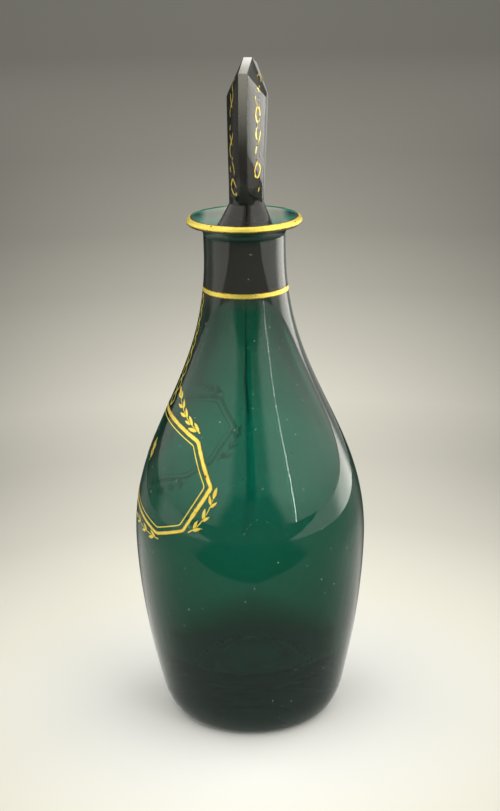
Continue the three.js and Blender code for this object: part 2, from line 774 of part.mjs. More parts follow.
const stopper = new THREE.Group();
const headChain = headChainGeometry();
const backChain = headChain.clone().rotateZ(Math.PI);
stopper.add(
  named("stopper", stopperGeometry(), stopperGlass),
  named("stopper_chain_front", onHead(headChain), gilding),
  named("stopper_chain_back", onHead(backChain), gilding),
);

const decanter = new THREE.Group();
decanter.add(bottle, stopper);

export default decanter;
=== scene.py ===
# Looks of the spirit decanter: fine blown glass, fired gilding and a plain studio, in metres.
import random
from math import atan, atan2, cos, hypot, pi, radians, sin, sqrt, tan

import bmesh
import bpy
import numpy as np
from mathutils import Matrix, Vector, noise


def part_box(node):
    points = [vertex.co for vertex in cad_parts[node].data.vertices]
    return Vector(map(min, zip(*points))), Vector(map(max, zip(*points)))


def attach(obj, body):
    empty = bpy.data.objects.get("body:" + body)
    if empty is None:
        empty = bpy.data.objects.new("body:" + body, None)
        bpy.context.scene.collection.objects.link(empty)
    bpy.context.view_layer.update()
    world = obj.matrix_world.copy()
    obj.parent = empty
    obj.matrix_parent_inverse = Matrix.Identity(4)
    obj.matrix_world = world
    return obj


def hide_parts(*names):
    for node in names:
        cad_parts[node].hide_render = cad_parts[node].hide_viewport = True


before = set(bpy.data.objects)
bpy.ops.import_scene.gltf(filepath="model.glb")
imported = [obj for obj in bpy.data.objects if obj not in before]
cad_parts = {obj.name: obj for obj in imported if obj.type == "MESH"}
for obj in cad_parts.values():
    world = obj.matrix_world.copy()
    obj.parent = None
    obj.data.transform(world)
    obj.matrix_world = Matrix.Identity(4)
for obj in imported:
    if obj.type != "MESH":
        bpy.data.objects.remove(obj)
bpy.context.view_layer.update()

_, body_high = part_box("decanter_body")
stopper_low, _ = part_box("stopper")
ring_low, ring_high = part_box("neck_gilding")

# Outside of the bottle
BELLY_RADIUS = body_high.x
LIP_HEIGHT = body_high.z
BELLY_HEIGHT = 0.075
HEEL_RADIUS = 0.0365
HEEL_HEIGHT = 0.012
SIDE_FULLNESS = 1.7
NECK_RADIUS = 0.0155
NECK_LENGTH = 0.014
BELLY_PULL_SHARE = 0.385
NECK_PULL_SHARE = 0.451

# Foot
FOOT_RADIUS = 0.0294
FOOT_RING_WIDTH = 0.004
HEEL_FOOT_SHARE = 0.26
HEEL_SIDE_SHARE = 0.45
KICK_HEIGHT = 0.012
PONTIL_RADIUS = 0.01
PONTIL_DEPTH = 0.001

# Glass thickness
BODY_WALL = 0.0032
BASE_WALL = 0.0055
NECK_WALL = 0.0048
FLOOR_THICKNESS = 0.013
FLOOR_SAG = 0.007
FLOOR_CORNER_RADIUS = 0.018
CORNER_PULL_SHARE = 0.45

# Lip and the ground seat in the neck
LIP_RADIUS = 0.0216
RIM_THICKNESS = 0.0027
RIM_WIDTH = 0.0019
RIM_BULGE_SHARE = 0.25
FLARE_HEIGHT = 0.0072
FLARE_PULL_SHARE = 0.85
FUNNEL_PULL_SHARE = 0.62
SEAT_RADIUS = 0.012
SEAT_LENGTH = 0.0195
SEAT_TAPER = 1 / 20

# Stopper
PEG_CLEARANCE = 0.0003
PEG_CHAMFER = 0.0008
COLLAR_RISE = 0.0006
WAIST_RISE = 0.005
STEM_RADIUS = 0.0065
STEM_LENGTH = 0.014
COLLAR_FOOT_SHARE = 0.55
COLLAR_WAIST_SHARE = 0.45
HEAD_HEIGHT = 0.0533
HEAD_HALF_WIDTH = 0.0168
HEAD_TOP_SLOPE = radians(12.5)
HEAD_THICKNESS = 0.0145
FLAT_TAPER = radians(1.6)
EDGE_WIDTH = 0.0031
BEVEL_WIDTH = 0.0126
HEAD_CURVE_SHARES = [(1.03, 0.3), (0.86, 0.68)]
ARRIS_RADIUS = 0.00025

# How far the hand-cut head stands and leans off the peg's axis, towards +Y
HEAD_SHIFT = 0.001
HEAD_LEAN = radians(1.5)

# Hand work in the glass: how far the surfaces waver, and over what lengths
OUTER_WAVER = 0.00007
INNER_WAVER = 0.00035
OUTER_WAVE_LENGTH = 0.03
INNER_WAVE_LENGTH = 0.022

# Gilding: a film on the glass, painted with a brush
FILM_LIFT = 0.00003
FILM_THICKNESS = 0.00005
LAYER_STEP = 0.000004
LAYERS = 9
BRUSH_STEP = 0.0003
BRUSH_WAVER_SHARE = 0.16
BRUSH_WAVE_LENGTH = 0.0011
FILM_ROWS = (-1, -0.6, 0, 0.6, 1)
LIP_BAND_HEIGHT = 0.0021
LIP_BAND_WAVER_SHARE = 0.06
NECK_RING_WIDTH = 0.0021

# Gilt ticket, with angles round the bottle in degrees
TICKET_HALF_ANGLE = 75.5
TICKET_RISE = 0.0091
TICKET_HEIGHT = 0.0427
TICKET_TOP_BOW = 2.3
BORDER_WIDTH = 0.0015
TOP_BORDER_WIDTH = 0.0019
INNER_LINE_GAP = 0.0023
INNER_LINE_WIDTH = 0.00055
CORNER_CUT = 0.0011
CORNER_CUT_MOST_SHARE = 0.45
TOP_CORNER_SHARES = (0.83, 0.855)
SIDE_CORNER_SHARES = (1, 0.508)
FOOT_CORNER_SHARES = (0.815, 0.103)
POINT_CORNER_SHARES = (0.581, 0)
BASE_MIDDLE_SHARES = (0, 0.21)

# Leaf sprays: root, bend and tip as shares of the ticket
TOP_SPRAY_SHARES = [(0.83, 0.925), (0.62, 1.005), (0.385, 1.175)]
SIDE_SPRAY_SHARES = [(0.857, 0.1), (0.98, 0.2), (1.028, 0.44)]
BOTTOM_SPRAY_SHARES = [(0.6, -0.045), (0.45, -0.04), (0.26, 0.01)]
TOP_SPRAY_PAIRS = 5
SIDE_SPRAY_PAIRS = 3
BOTTOM_SPRAY_PAIRS = 3
STEM_WIDTH = 0.0005
STEM_ROOT_SHARE = 1.2
STEM_TAPER_SHARE = 0.6
LEAF_LENGTH = 0.0044
LEAF_WIDTH = 0.0018
LEAF_POINT_WIDTH = STEM_WIDTH / 3
LEAF_FULLNESS = 0.8
LEAF_SPLAY = radians(31)
LEAF_CURL = radians(14)
LEAF_STAGGER_SHARE = 0.12
LEAF_SHRINK_SHARE = 0.25
LEAF_SIZE_VARIES_SHARE = 0.12
LEAF_SPLAY_VARIES_SHARE = 0.2

# Ornament in the middle of the ticket
ORNAMENT_HEIGHT_SHARE = 0.6
ROSETTE_PETALS = 8
ROSETTE_RADIUS = 0.0046
ROSETTE_BUTTON = 0.0022
BUTTON_END_SHARE = 0.02
SPRIG_ANGLE_SHARE = 0.25
SPRIG_HEIGHT = 0.0055
SPRIG_PAIRS = 2

# Gilt chains, with angles round the bottle in degrees
CHAIN_WIRE_WIDTH = 0.0005
CHAIN_KNOT_SHARE = 0.7
CHAIN_KNOT_POWER = 3
CHAIN_TOP_ANGLE = 22
CHAIN_FOOT_ANGLE = 17
CHAIN_LINKS = 8
CHAIN_LINK_WIDTH = 0.0026
CHAIN_GAP = 0.0005
HEAD_CHAIN_FOOT_SHARES = (0.36, 0.06)
HEAD_SIDE_LINKS = 6
HEAD_TOP_LINKS = 2

# Fineness of the meshes
SEGMENTS = 144
CURVE_POINTS = 60
SHORT_POINTS = 18
SPRAY_POINTS = 25
SPRIG_POINTS = 13
CORNER_POINTS = 7
TICKET_TOP_STEPS = 24
LEAF_STEPS = 8
LINK_STEPS = 12
RING_STEP_DEGREES = 2
ARRIS_SEGMENTS = 2
ROUND_PROFILE = 0.5
SHARP_ANGLE = radians(20)
SLOPE_STEP = 0.00001
CUT_TOLERANCE = 1e-7
MERGE_TOLERANCE = 1e-6

# The photograph's camera in the studio's axes, where it is over -Y, and their turn from this frame
STUDIO_TURN = radians(96.5)
CAMERA_DISTANCE = 0.630862
CAMERA_HEIGHT = 0.331065
CAMERA_YAW = 0.0013153
CAMERA_PITCH = 0.3150264
CAMERA_ROLL = -0.0186757
FOCAL_PIXELS = 1717.215
PHOTO_HEIGHT_PIXELS = 811
SENSOR_MM = 36

# Glass: its colour in the mass, and the grain of its ground places
WHITE = (1, 1, 1, 1)
BLACK = (0, 0, 0, 1)
GLASS_IOR = 1.5
BODY_COLOUR = (0, 0.848, 0.807, 1)
BODY_DENSITY = 1500
STOPPER_COLOUR = (0.3, 0.82, 0.8, 1)
STOPPER_DENSITY = 3000
GROUND_ROUGHNESS = 0.4
GROUND_GRAIN_SCALE = 4000
GROUND_GRAIN_DETAIL = 2
GROUND_GRAIN_DEPTH = 0.00004

# Glass: a faint veil of dust and old scratches, with hazy and speckled places, a painted reflection inside
# the lip and painted highlights on the stopper's edges and top
VEIL_SHARE = 0.035
BODY_VEIL = (0.06, 0.36, 0.26, 1)
STOPPER_VEIL = (0.42, 0.41, 0.37, 1)
NECK_HAZE_FOOT = 0.169
NECK_HAZE_SOFT = 0.003
NECK_HAZE_SHARE = 0.045
NECK_TINT = (0.62, 0.45, 0.48, 1)
PALE_HAZE_AND_GLARE = (0.62, 0.61, 0.56, 1)
# A painted reflection inside the lip: its share, and the wedge across the studio where it lies
FUNNEL_REFLECTION_SHARE = 0.6
WEDGE_START = 0.0145
WEDGE_END = 0.0175
STEM_HAZE_RAMP = (0.21, 0.213)
FRONT_HAZE_SHARE = 0.05
BACK_HAZE_RAMP = (-0.4, 0.4, 0, 0.16)
SPECK_SCALE = 900
SPECK_RAMP = (0.83, 0.86, 0, 0.4)
# A painted highlight on the head's narrow edges: where it starts, and its share at the top
EDGE_HIGHLIGHT_FOOT = 0.218
EDGE_HIGHLIGHT_SHARE = 0.8

# Fired gilding: its tones, its wear, and painted shade where it faces down
GOLD = (1, 0.86, 0.17, 1)
DEEP_GOLD = (1, 0.78, 0.12, 1)
BROWN_GROUND_AND_SHADE = (0.24, 0.1, 0.02, 1)
GOLD_METALLIC = 0.7
GOLD_DETAIL = 3
GRAIN_SCALE = 2500
GRAIN_DEPTH = 0.00002
GRAIN_WEAR_SHARE = 0.9
PATCH_SCALE = 450
TONE_RAMP = (0.35, 0.7)
ROUGHNESS_RAMP = (0.3, 0.8, 0.35, 0.55)
EDGE_WEAR_RAMP = (0.66, 0.85)
PATCH_WEAR_RAMP = (0.66, 0.74)
UNDERSIDE_SHADE_RAMP = (-0.6, -0.25, 1, 0)
RUB_SCALE = 230
RUB_DETAIL = 1
RUB_RAMP = (0.47, 0.53)
FILM_BACK_ALPHA = 0.3
FILM_BACK_TURN = -0.3

# Studio: the tent of light by direction, with the camera at angle 0 and angles to the right of it
SLOT_LEFT = radians(20)
SLOT_RIGHT = radians(24)
SLOT_SOFT = radians(7)
SLOT_SPREAD_RAMP = (0, radians(18), radians(12), 0)
SLOT_LEVEL_RAMP = (radians(13), radians(18), 0.15, 0.42)
CORE_LEFT = radians(3.5)
CORE_RIGHT = radians(7)
CORE_SOFT = radians(1.5)
CORE_HEIGHT_RAMP = (radians(12), radians(13.5))
CORE_SHARE = 0.05
LEFT_LEVEL = 1.25
RIGHT_LEVEL = 1.75
SIDE_BLEND = radians(50)
SIDE_HEIGHT_RAMP = (0, radians(16), 0.68, 1)
BACK_RAMP = (radians(128), radians(152), 1, 0.12)
CEILING_RAMP = (radians(45), radians(68))
CEILING_LEVEL = 1.25
LAMP_HEIGHT_RAMP = (radians(28), radians(36))
LAMP_BACK_RAMP = (radians(166), radians(174))
LAMP_LEVEL = 5
STRIP_ANGLE = radians(47)
STRIP_HALF_WIDTH = radians(0.35)
STRIP_HEIGHT_RAMP = (radians(45), radians(16))
STRIP_LEVEL = 22
LIGHT_COLOUR = (1, 0.985, 0.91, 1)
BACKDROP_COLOUR = (0.16, 0.157, 0.142, 1)

# Studio: a painted pool of light on the floor, its brightness by its distance from the bottle, and its
# painted fall to both sides
FLOOR_RADIUS = 9
FLOOR_SEGMENTS = 96
FLOOR_RAMP_LENGTH = 3
FLOOR_GREYS = [
    (0, 0.99), (0.06, 0.98), (0.11, 0.88), (0.2, 0.69), (0.3, 0.63), (0.4, 0.68), (0.52, 0.56),
    (0.68, 0.42), (0.9, 0.31), (1.3, 0.235), (1.7, 0.2), (2.3, 0.155), (3, 0.156),
]
FALL_RATE = 6
FALL_POWER = 1.5
FALL_START = 0.08
FALL_FULL = 0.35
FALL_FADE_RAMP = (0.9, 2, 1, 0.3)
FALL_MOST = 0.5

# Studio: the floor as it shows through the glass, with painted shadow in the bottle's lee and along a streak
LEE_RAMP = (0.05, 0.45, 0.5, 1)
STREAK_PLACE = -0.0015
STREAK_HALF_WIDTH = 0.0045
STREAK_START = 0.17
STREAK_END = 0.8
STREAK_SOFT = 0.06
STREAK_LEVEL_RAMP = (0.34, 0.46, 0.8, 0.2)

# Studio: a painted reflection, the floor's own glow as the glass mirrors it
SHEET_LEVEL = 0.46
SHEET_FRONT_RAMP = (-0.184, -0.172, 1, 0)
SHEET_REACH_RAMP = (0.579, 0.591)
BESIDE_RAMP = (radians(60), radians(130), 0, 0.55)
BESIDE_REACH_RAMP = (0.15, 0.35, 1, 0)
RIGHT_WALL_RAMP = (radians(90), radians(110), 1.4, 4.4)
LEFT_WALL_RAMP = (radians(-110), radians(-90), 0.2, 1.1)
DARK_SPREAD = 0.4
DARK_SIDE_RAMP = (0.12, 0.24, 1, 0)
DARK_LEVEL_RAMP = (0.5, 0.65, 0.1, 0.2)
DARK_FAR_START = 0.5
DARK_FAR_SPREAD = 3.5
FAR_BACK_RAMP = (radians(130), radians(144), 1, 0.12)

SHOULDER_HEIGHT = LIP_HEIGHT - NECK_LENGTH - BELLY_HEIGHT
NECK_HEIGHT = BELLY_HEIGHT + SHOULDER_HEIGHT
RIM_FOOT = LIP_HEIGHT - RIM_THICKNESS
SEAT_TOP = LIP_HEIGHT - FLARE_HEIGHT
SEAT_BASE = SEAT_TOP - SEAT_LENGTH
PEG_BASE = stopper_low.z
PEG_TOP = SEAT_TOP + COLLAR_RISE
WAIST_HEIGHT = LIP_HEIGHT + WAIST_RISE
HEAD_TOP = WAIST_HEIGHT + HEAD_HEIGHT
HEAD_CORNER_HEIGHT = HEAD_TOP - HEAD_HALF_WIDTH * tan(HEAD_TOP_SLOPE)
NECK_RING_HEIGHT = (ring_low.z + ring_high.z) / 2
TICKET_BASE = BELLY_HEIGHT + TICKET_RISE
TICKET_TOP = TICKET_BASE + TICKET_HEIGHT


def mixed(a, b, part):
    return a + (b - a) * part


def between(start, end, part):
    """The point that lies a part of the way from the start to the end."""
    return mixed(start[0], end[0], part), mixed(start[1], end[1], part)


def clamped(value):
    return min(1, max(0, value))


def bezier(points, count=SHORT_POINTS):
    """Points along a Bezier curve of any degree, both ends included."""
    rows = []
    for part in np.linspace(0, 1, count):
        level = np.array(points, float)
        while len(level) > 1:
            level = level[:-1] * (1 - part) + level[1:] * part
        rows.append(level[0])
    return np.array(rows)


def side_radius(height):
    rise = (height - HEEL_HEIGHT) / (BELLY_HEIGHT - HEEL_HEIGHT)
    return BELLY_RADIUS - (BELLY_RADIUS - HEEL_RADIUS) * (1 - rise) ** SIDE_FULLNESS


def shoulder_curve(belly_wall, neck_wall, count=CURVE_POINTS):
    belly = BELLY_RADIUS - belly_wall
    neck = NECK_RADIUS - neck_wall
    return bezier([
        (belly, BELLY_HEIGHT),
        (belly, BELLY_HEIGHT + BELLY_PULL_SHARE * SHOULDER_HEIGHT),
        (neck, NECK_HEIGHT - NECK_PULL_SHARE * SHOULDER_HEIGHT),
        (neck, NECK_HEIGHT),
    ], count)


def rim_curve(count=SHORT_POINTS):
    bulge = RIM_THICKNESS * RIM_BULGE_SHARE
    return bezier([
        (LIP_RADIUS - bulge, RIM_FOOT),
        (LIP_RADIUS + bulge, RIM_FOOT + bulge),
        (LIP_RADIUS, LIP_HEIGHT),
        (LIP_RADIUS - RIM_WIDTH, LIP_HEIGHT),
    ], count)


def foot_outline():
    ring_inner = FOOT_RADIUS - FOOT_RING_WIDTH
    pontil_top = KICK_HEIGHT + PONTIL_DEPTH
    pontil = bezier([(0, pontil_top), (PONTIL_RADIUS / 2, pontil_top), (PONTIL_RADIUS, KICK_HEIGHT)])
    kick_bend = ((ring_inner + PONTIL_RADIUS) / 2, KICK_HEIGHT)
    kick = bezier([(PONTIL_RADIUS, KICK_HEIGHT), kick_bend, (ring_inner, 0)])
    heel = bezier([
        (FOOT_RADIUS, 0),
        (FOOT_RADIUS + HEEL_FOOT_SHARE * (HEEL_RADIUS - FOOT_RADIUS), 0),
        (side_radius(HEEL_HEIGHT * HEEL_SIDE_SHARE), HEEL_HEIGHT * HEEL_SIDE_SHARE),
        (HEEL_RADIUS, HEEL_HEIGHT),
    ])
    return [*pontil, *kick[1:], *heel]


def lip_outline():
    rim = rim_curve()
    flare = (NECK_RADIUS, mixed(SEAT_TOP, RIM_FOOT, FLARE_PULL_SHARE))
    under = bezier([(NECK_RADIUS, SEAT_TOP), flare, rim[0]])
    mouth = (SEAT_RADIUS, mixed(SEAT_TOP, LIP_HEIGHT, FUNNEL_PULL_SHARE))
    funnel = bezier([rim[-1], mouth, (SEAT_RADIUS, SEAT_TOP)])
    return [*under, *rim[1:], *funnel[1:]]


def side_heights(low):
    return np.linspace(low, BELLY_HEIGHT, CURVE_POINTS)[1:-1]


def side_wall(height):
    """The glass grows thicker from the belly down to the heel."""
    return mixed(BASE_WALL, BODY_WALL, (height - HEEL_HEIGHT) / (BELLY_HEIGHT - HEEL_HEIGHT))


def inner_outline():
    """The inside of the bottle from the foot of the ground seat down to the middle of its floor."""
    shoulder = shoulder_curve(BODY_WALL, NECK_WALL)
    below_seat = shoulder[shoulder[:, 1] < SEAT_BASE - SEAT_TAPER * SEAT_LENGTH][::-1]
    corner_height = HEEL_HEIGHT + FLOOR_CORNER_RADIUS
    corner_radius = side_radius(corner_height) - side_wall(corner_height)
    floor_middle = KICK_HEIGHT + PONTIL_DEPTH + FLOOR_THICKNESS
    floor_edge = floor_middle - FLOOR_SAG
    floor_radius = corner_radius - FLOOR_CORNER_RADIUS
    wall = [(side_radius(height) - side_wall(height), height) for height in side_heights(corner_height)[::-1]]
    corner = bezier([
        (corner_radius, corner_height),
        (corner_radius - BODY_WALL, mixed(corner_height, floor_edge, 1 - CORNER_PULL_SHARE)),
        (mixed(floor_radius, corner_radius, 1 - CORNER_PULL_SHARE), floor_edge),
        (floor_radius, floor_edge),
    ])
    floor = bezier([
        (floor_radius, floor_edge),
        (floor_radius * (1 - CORNER_PULL_SHARE), floor_edge),
        (floor_radius * CORNER_PULL_SHARE, floor_middle),
        (0, floor_middle),
    ])
    return [*below_seat, *wall, *corner, *floor[1:]]


def seat_radius_at(height):
    return SEAT_RADIUS - (SEAT_TOP - height) * SEAT_TAPER


outer_shoulder = shoulder_curve(0, 0, CURVE_POINTS * 4)


def outer_radius(height):
    if height < BELLY_HEIGHT:
        return side_radius(height)
    return float(np.interp(height, outer_shoulder[:, 1], outer_shoulder[:, 0]))


def waver(point, wave_length, depth):
    """A slow, smooth dent, never outward."""
    return -depth * (1 + noise.noise(point / wave_length)) / 2


def outer_waver(point):
    """The outside's dents, fading out towards the foot and the lip."""
    fade = clamped((point.z - HEEL_HEIGHT) / HEEL_HEIGHT) * clamped((SEAT_TOP - point.z) / FLARE_HEIGHT)
    return fade * waver(point, OUTER_WAVE_LENGTH, OUTER_WAVER)


def mesh_object(name, vertices, faces, material):
    mesh = bpy.data.meshes.new(name)
    mesh.from_pydata([tuple(vertex) for vertex in vertices], [], faces)
    mesh.validate()
    mesh.materials.append(material)
    made = bpy.data.objects.new(name, mesh)
    bpy.context.scene.collection.objects.link(made)
    return made


def smooth(piece):
    piece.data.shade_smooth()
    piece.data.set_sharp_from_angle(angle=SHARP_ANGLE)


def circle(radius, height, count=SEGMENTS):
    turns = [2 * pi * i / count for i in range(count)]
    return [Vector((radius * cos(turn), radius * sin(turn), height)) for turn in turns]


def turned(outline):
    """Vertices and faces of an outline of (radius, height), from axis to axis, turned about Z."""
    inner = outline[1:-1]
    vertices = [Vector((0, 0, outline[0][1])), Vector((0, 0, outline[-1][1]))]
    for radius, height in inner:
        vertices += circle(radius, height)
    first = 2
    last = first + (len(inner) - 1) * SEGMENTS
    faces = []
    for i in range(SEGMENTS):
        after = (i + 1) % SEGMENTS
        faces.append((0, first + after, first + i))
        faces.append((1, last + i, last + after))
        for row in range(len(inner) - 1):
            low = first + row * SEGMENTS
            high = low + SEGMENTS
            faces.append((low + i, low + after, high + after, high + i))
    return vertices, faces


def add_number(mesh, name, values):
    attribute = mesh.attributes.new(name, "FLOAT", "POINT")
    attribute.data.foreach_set("value", values)


def funnel_reflection(point):
    """Where the painted reflection inside the lip lies: 1 in the middle of the studio's width, and 0 at both
    sides of the lip.
    """
    aside = abs(point.x * cos(STUDIO_TURN) + point.y * sin(STUDIO_TURN))
    return 1 - clamped((aside - WEDGE_START) / (WEDGE_END - WEDGE_START))


def bottle_piece(material):
    """The bottle, turned from one outline: outside, lip, ground seat and inside, with its hand-made dents."""
    side = [(side_radius(height), height) for height in side_heights(HEEL_HEIGHT)]
    outside = [*foot_outline(), *side, *shoulder_curve(0, 0)]
    lip = lip_outline()
    seat = [(seat_radius_at(height), height) for height in np.linspace(SEAT_TOP, SEAT_BASE, SHORT_POINTS)]
    vertices, faces = turned([*outside, *lip, *seat[1:], *inner_outline()])
    seat_start = len(outside) + len(lip)
    inside_start = seat_start + len(seat) - 1
    ground = []
    funnel = []
    for index, vertex in enumerate(vertices):
        row = 0 if index < 2 else 1 + (index - 2) // SEGMENTS
        flat = hypot(vertex.x, vertex.y)
        pontil = row < len(outside) and flat < FOOT_RADIUS and vertex.z < KICK_HEIGHT * 2
        ground.append(float(pontil or seat_start - 2 < row < inside_start))
        # The funnel mark: where a painted reflection lies inside the lip
        inside_lip = seat_start - SHORT_POINTS < row < seat_start - 1
        funnel.append(float(inside_lip and funnel_reflection(vertex)))
        if index < 2 or flat < PONTIL_RADIUS:
            continue
        if row < len(outside):
            vertex.xy *= 1 + outer_waver(vertex) / flat
        elif row >= inside_start:
            vertex.xy *= 1 + waver(vertex, INNER_WAVE_LENGTH, INNER_WAVER) / flat
    piece = mesh_object("bottle_glass", vertices, faces, material)
    add_number(piece.data, "ground", ground)
    add_number(piece.data, "funnel", funnel)
    add_number(piece.data, "bottle", [1.0] * len(ground))
    smooth(piece)
    return piece


def head_side():
    """The right side of the head in front view, from its top corner down to the waist."""
    drop = HEAD_CORNER_HEIGHT - WAIST_HEIGHT
    bends = [(HEAD_HALF_WIDTH * width, HEAD_CORNER_HEIGHT - drop * fall) for width, fall in HEAD_CURVE_SHARES]
    return bezier([(HEAD_HALF_WIDTH, HEAD_CORNER_HEIGHT), *bends, (STEM_RADIUS, WAIST_HEIGHT)], CURVE_POINTS)


HEAD_SIDE = head_side()


def face_planes():
    """The flat ground faces of the side of the head that faces -Y, each as a point and a normal."""
    angle = atan((HEAD_THICKNESS - EDGE_WIDTH) / 2 / BEVEL_WIDTH)
    flat_normal = Vector((0, -cos(FLAT_TAPER), -sin(FLAT_TAPER)))
    planes = [(Vector((0, -HEAD_THICKNESS / 2, HEAD_TOP - BEVEL_WIDTH)), flat_normal)]
    for hand in (1, -1):
        corner = Vector((hand * HEAD_HALF_WIDTH, -EDGE_WIDTH / 2, HEAD_CORNER_HEIGHT))
        outward = Vector((hand * sin(HEAD_TOP_SLOPE), 0, cos(HEAD_TOP_SLOPE)))
        planes.append((corner, outward * sin(angle) - Vector((0, cos(angle), 0))))
    return planes


FRONT_PLANES = face_planes()


def side_bevel(z):
    """Half the head's width at z, and how fast the bevel beside it gains depth inwards."""
    width = float(np.interp(z, HEAD_SIDE[::-1, 1], HEAD_SIDE[::-1, 0]))
    run = BEVEL_WIDTH * width / HEAD_HALF_WIDTH
    return width, (HEAD_THICKNESS - EDGE_WIDTH) / 2 / run


def face_depth(x, z):
    """Depth of the head's front face at (x, z): the nearest of its ground faces."""
    width, gain = side_bevel(z)
    depths = [EDGE_WIDTH / 2 + (width - abs(x)) * gain]
    for point, normal in FRONT_PLANES:
        y = point.y - (normal.x * (x - point.x) + normal.z * (z - point.z)) / normal.y
        depths.append(abs(y))
    return min(depths)


def head_section(z):
    """The head cut level at z, before its flat faces and its top are ground."""
    width, gain = side_bevel(z)
    edge = EDGE_WIDTH / 2
    deep = (HEAD_THICKNESS + EDGE_WIDTH) / 2
    inner = width - (deep - edge) / gain
    right = [(inner, -deep), (width, -edge), (width, edge), (inner, deep)]
    return [Vector((x, y, z)) for x, y in right + [(-x, -y) for x, y in right]]


def cut_away(work, point, normal):
    """Grinds a face: what lies beyond the plane goes, and the cut is closed."""
    geometry = work.verts[:] + work.edges[:] + work.faces[:]
    cut = bmesh.ops.bisect_plane(
        work, geom=geometry, plane_co=point, plane_no=normal, clear_outer=True, dist=CUT_TOLERANCE,
    )
    edges = [item for item in cut["geom_cut"] if isinstance(item, bmesh.types.BMEdge)]
    bmesh.ops.contextual_create(work, geom=edges)


def head_mesh(material):
    """The flat lozenge with its ground bevels and slightly worn arrises."""
    levels = [*HEAD_SIDE[::-1, 1], HEAD_TOP + EDGE_WIDTH]
    vertices = [vertex for level in levels for vertex in head_section(level)]
    count = len(vertices) // len(levels)
    faces = [tuple(range(count))[::-1], tuple(range(len(vertices) - count, len(vertices)))]
    for low in range(0, len(vertices) - count, count):
        for i in range(count):
            after = (i + 1) % count
            faces.append((low + i, low + after, low + count + after, low + count + i))
    piece = mesh_object("stopper_glass_piece", vertices, faces, material)
    work = bmesh.new()
    work.from_mesh(piece.data)
    bmesh.ops.recalc_face_normals(work, faces=work.faces)
    half_turn = Matrix.Rotation(pi, 3, "Z")
    peak = Vector((0, 0, HEAD_TOP))
    top_normal = Vector((sin(HEAD_TOP_SLOPE), 0, cos(HEAD_TOP_SLOPE)))
    for point, normal in [(peak, top_normal), *FRONT_PLANES]:
        cut_away(work, point, normal)
        cut_away(work, half_turn @ point, half_turn @ normal)
    bmesh.ops.dissolve_degenerate(work, dist=MERGE_TOLERANCE, edges=work.edges)
    bmesh.ops.recalc_face_normals(work, faces=work.faces)
    sharp = [edge for edge in work.edges if edge.is_manifold and edge.calc_face_angle() > SHARP_ANGLE / 2]
    bmesh.ops.bevel(
        work, geom=sharp, offset=ARRIS_RADIUS, segments=ARRIS_SEGMENTS, profile=ROUND_PROFILE, affect="EDGES",
    )
    work.to_mesh(piece.data)
    work.free()
    return piece


def on_head():
    """The move that puts what is drawn upright on the peg's axis in the head's place."""
    lean = Matrix.Rotation(-HEAD_LEAN, 4, "X")
    there = Matrix.Translation((0, HEAD_SHIFT, WAIST_HEIGHT))
    return there @ lean @ Matrix.Translation((0, 0, -WAIST_HEIGHT))


def peg_mesh(material):
    """The ground peg, the collar that bends over to the head and the stem that ends inside it."""
    top_radius = seat_radius_at(PEG_TOP) - PEG_CLEARANCE
    base_radius = seat_radius_at(PEG_BASE) - PEG_CLEARANCE
    collar_radius = mixed(STEM_RADIUS, SEAT_RADIUS, COLLAR_FOOT_SHARE)
    collar = bezier([
        (top_radius, PEG_TOP),
        (top_radius, PEG_TOP + COLLAR_RISE),
        (collar_radius, mixed(PEG_TOP, WAIST_HEIGHT, COLLAR_WAIST_SHARE)),
        (STEM_RADIUS, WAIST_HEIGHT),
    ], CURVE_POINTS // 2)
    stem_top = WAIST_HEIGHT + STEM_LENGTH
    vertices, faces = turned([
        (0, PEG_BASE),
        (base_radius - PEG_CHAMFER, PEG_BASE),
        (base_radius, PEG_BASE + PEG_CHAMFER),
        *collar,
        (STEM_RADIUS, (WAIST_HEIGHT + stem_top) / 2),
        (STEM_RADIUS / 2, stem_top),
        (0, stem_top),
    ])
    for vertex in vertices:
        rise = clamped((vertex.z - PEG_TOP) / (WAIST_HEIGHT - PEG_TOP))
        vertex.y += HEAD_SHIFT * rise * rise * (3 - 2 * rise)
    return mesh_object("stopper_peg", vertices, faces, material)


def join(piece, other):
    """Makes one solid of two that run into each other."""
    union = piece.modifiers.new("union", "BOOLEAN")
    union.operation = "UNION"
    union.solver = "EXACT"
    union.object = other
    depsgraph = bpy.context.evaluated_depsgraph_get()
    mesh = bpy.data.meshes.new_from_object(piece.evaluated_get(depsgraph))
    piece.modifiers.clear()
    piece.data = mesh
    bpy.data.objects.remove(other)


def stopper_piece(material):
    head = head_mesh(material)
    head.data.transform(on_head())
    join(head, peg_mesh(material))
    ground = [float(vertex.co.z < PEG_TOP + FILM_LIFT) for vertex in head.data.vertices]
    add_number(head.data, "ground", ground)
    # Marks the whole stopper, for its haze and its painted highlights
    add_number(head.data, "stopper_haze_and_highlight", [1.0] * len(ground))
    smooth(head)
    return head


# Charts lay flat drawings on a surface: place() is the point at (u, v), scale() the length of one unit there
class BodyChart:
    """Degrees round the bottle, and the height."""

    def slope(self, height):
        return (outer_radius(height + SLOPE_STEP) - outer_radius(height - SLOPE_STEP)) / (2 * SLOPE_STEP)

    def scale(self, u, v):
        return radians(outer_radius(v)), hypot(1, self.slope(v))

    def place(self, u, v, lift):
        tilt = atan(self.slope(v))
        turn = radians(u)
        outward = Vector((sin(turn), -cos(turn), 0))
        foot = outward * outer_radius(v) + Vector((0, 0, v))
        return foot + outward * (outer_waver(foot) + lift * cos(tilt)) - Vector((0, 0, lift * sin(tilt)))


class HeadChart:
    """Lengths across and up the front of the stopper's head."""

    def scale(self, u, v):
        return 1, 1

    def place(self, u, v, lift):
        return Vector((u, -face_depth(u, v) - lift, v))


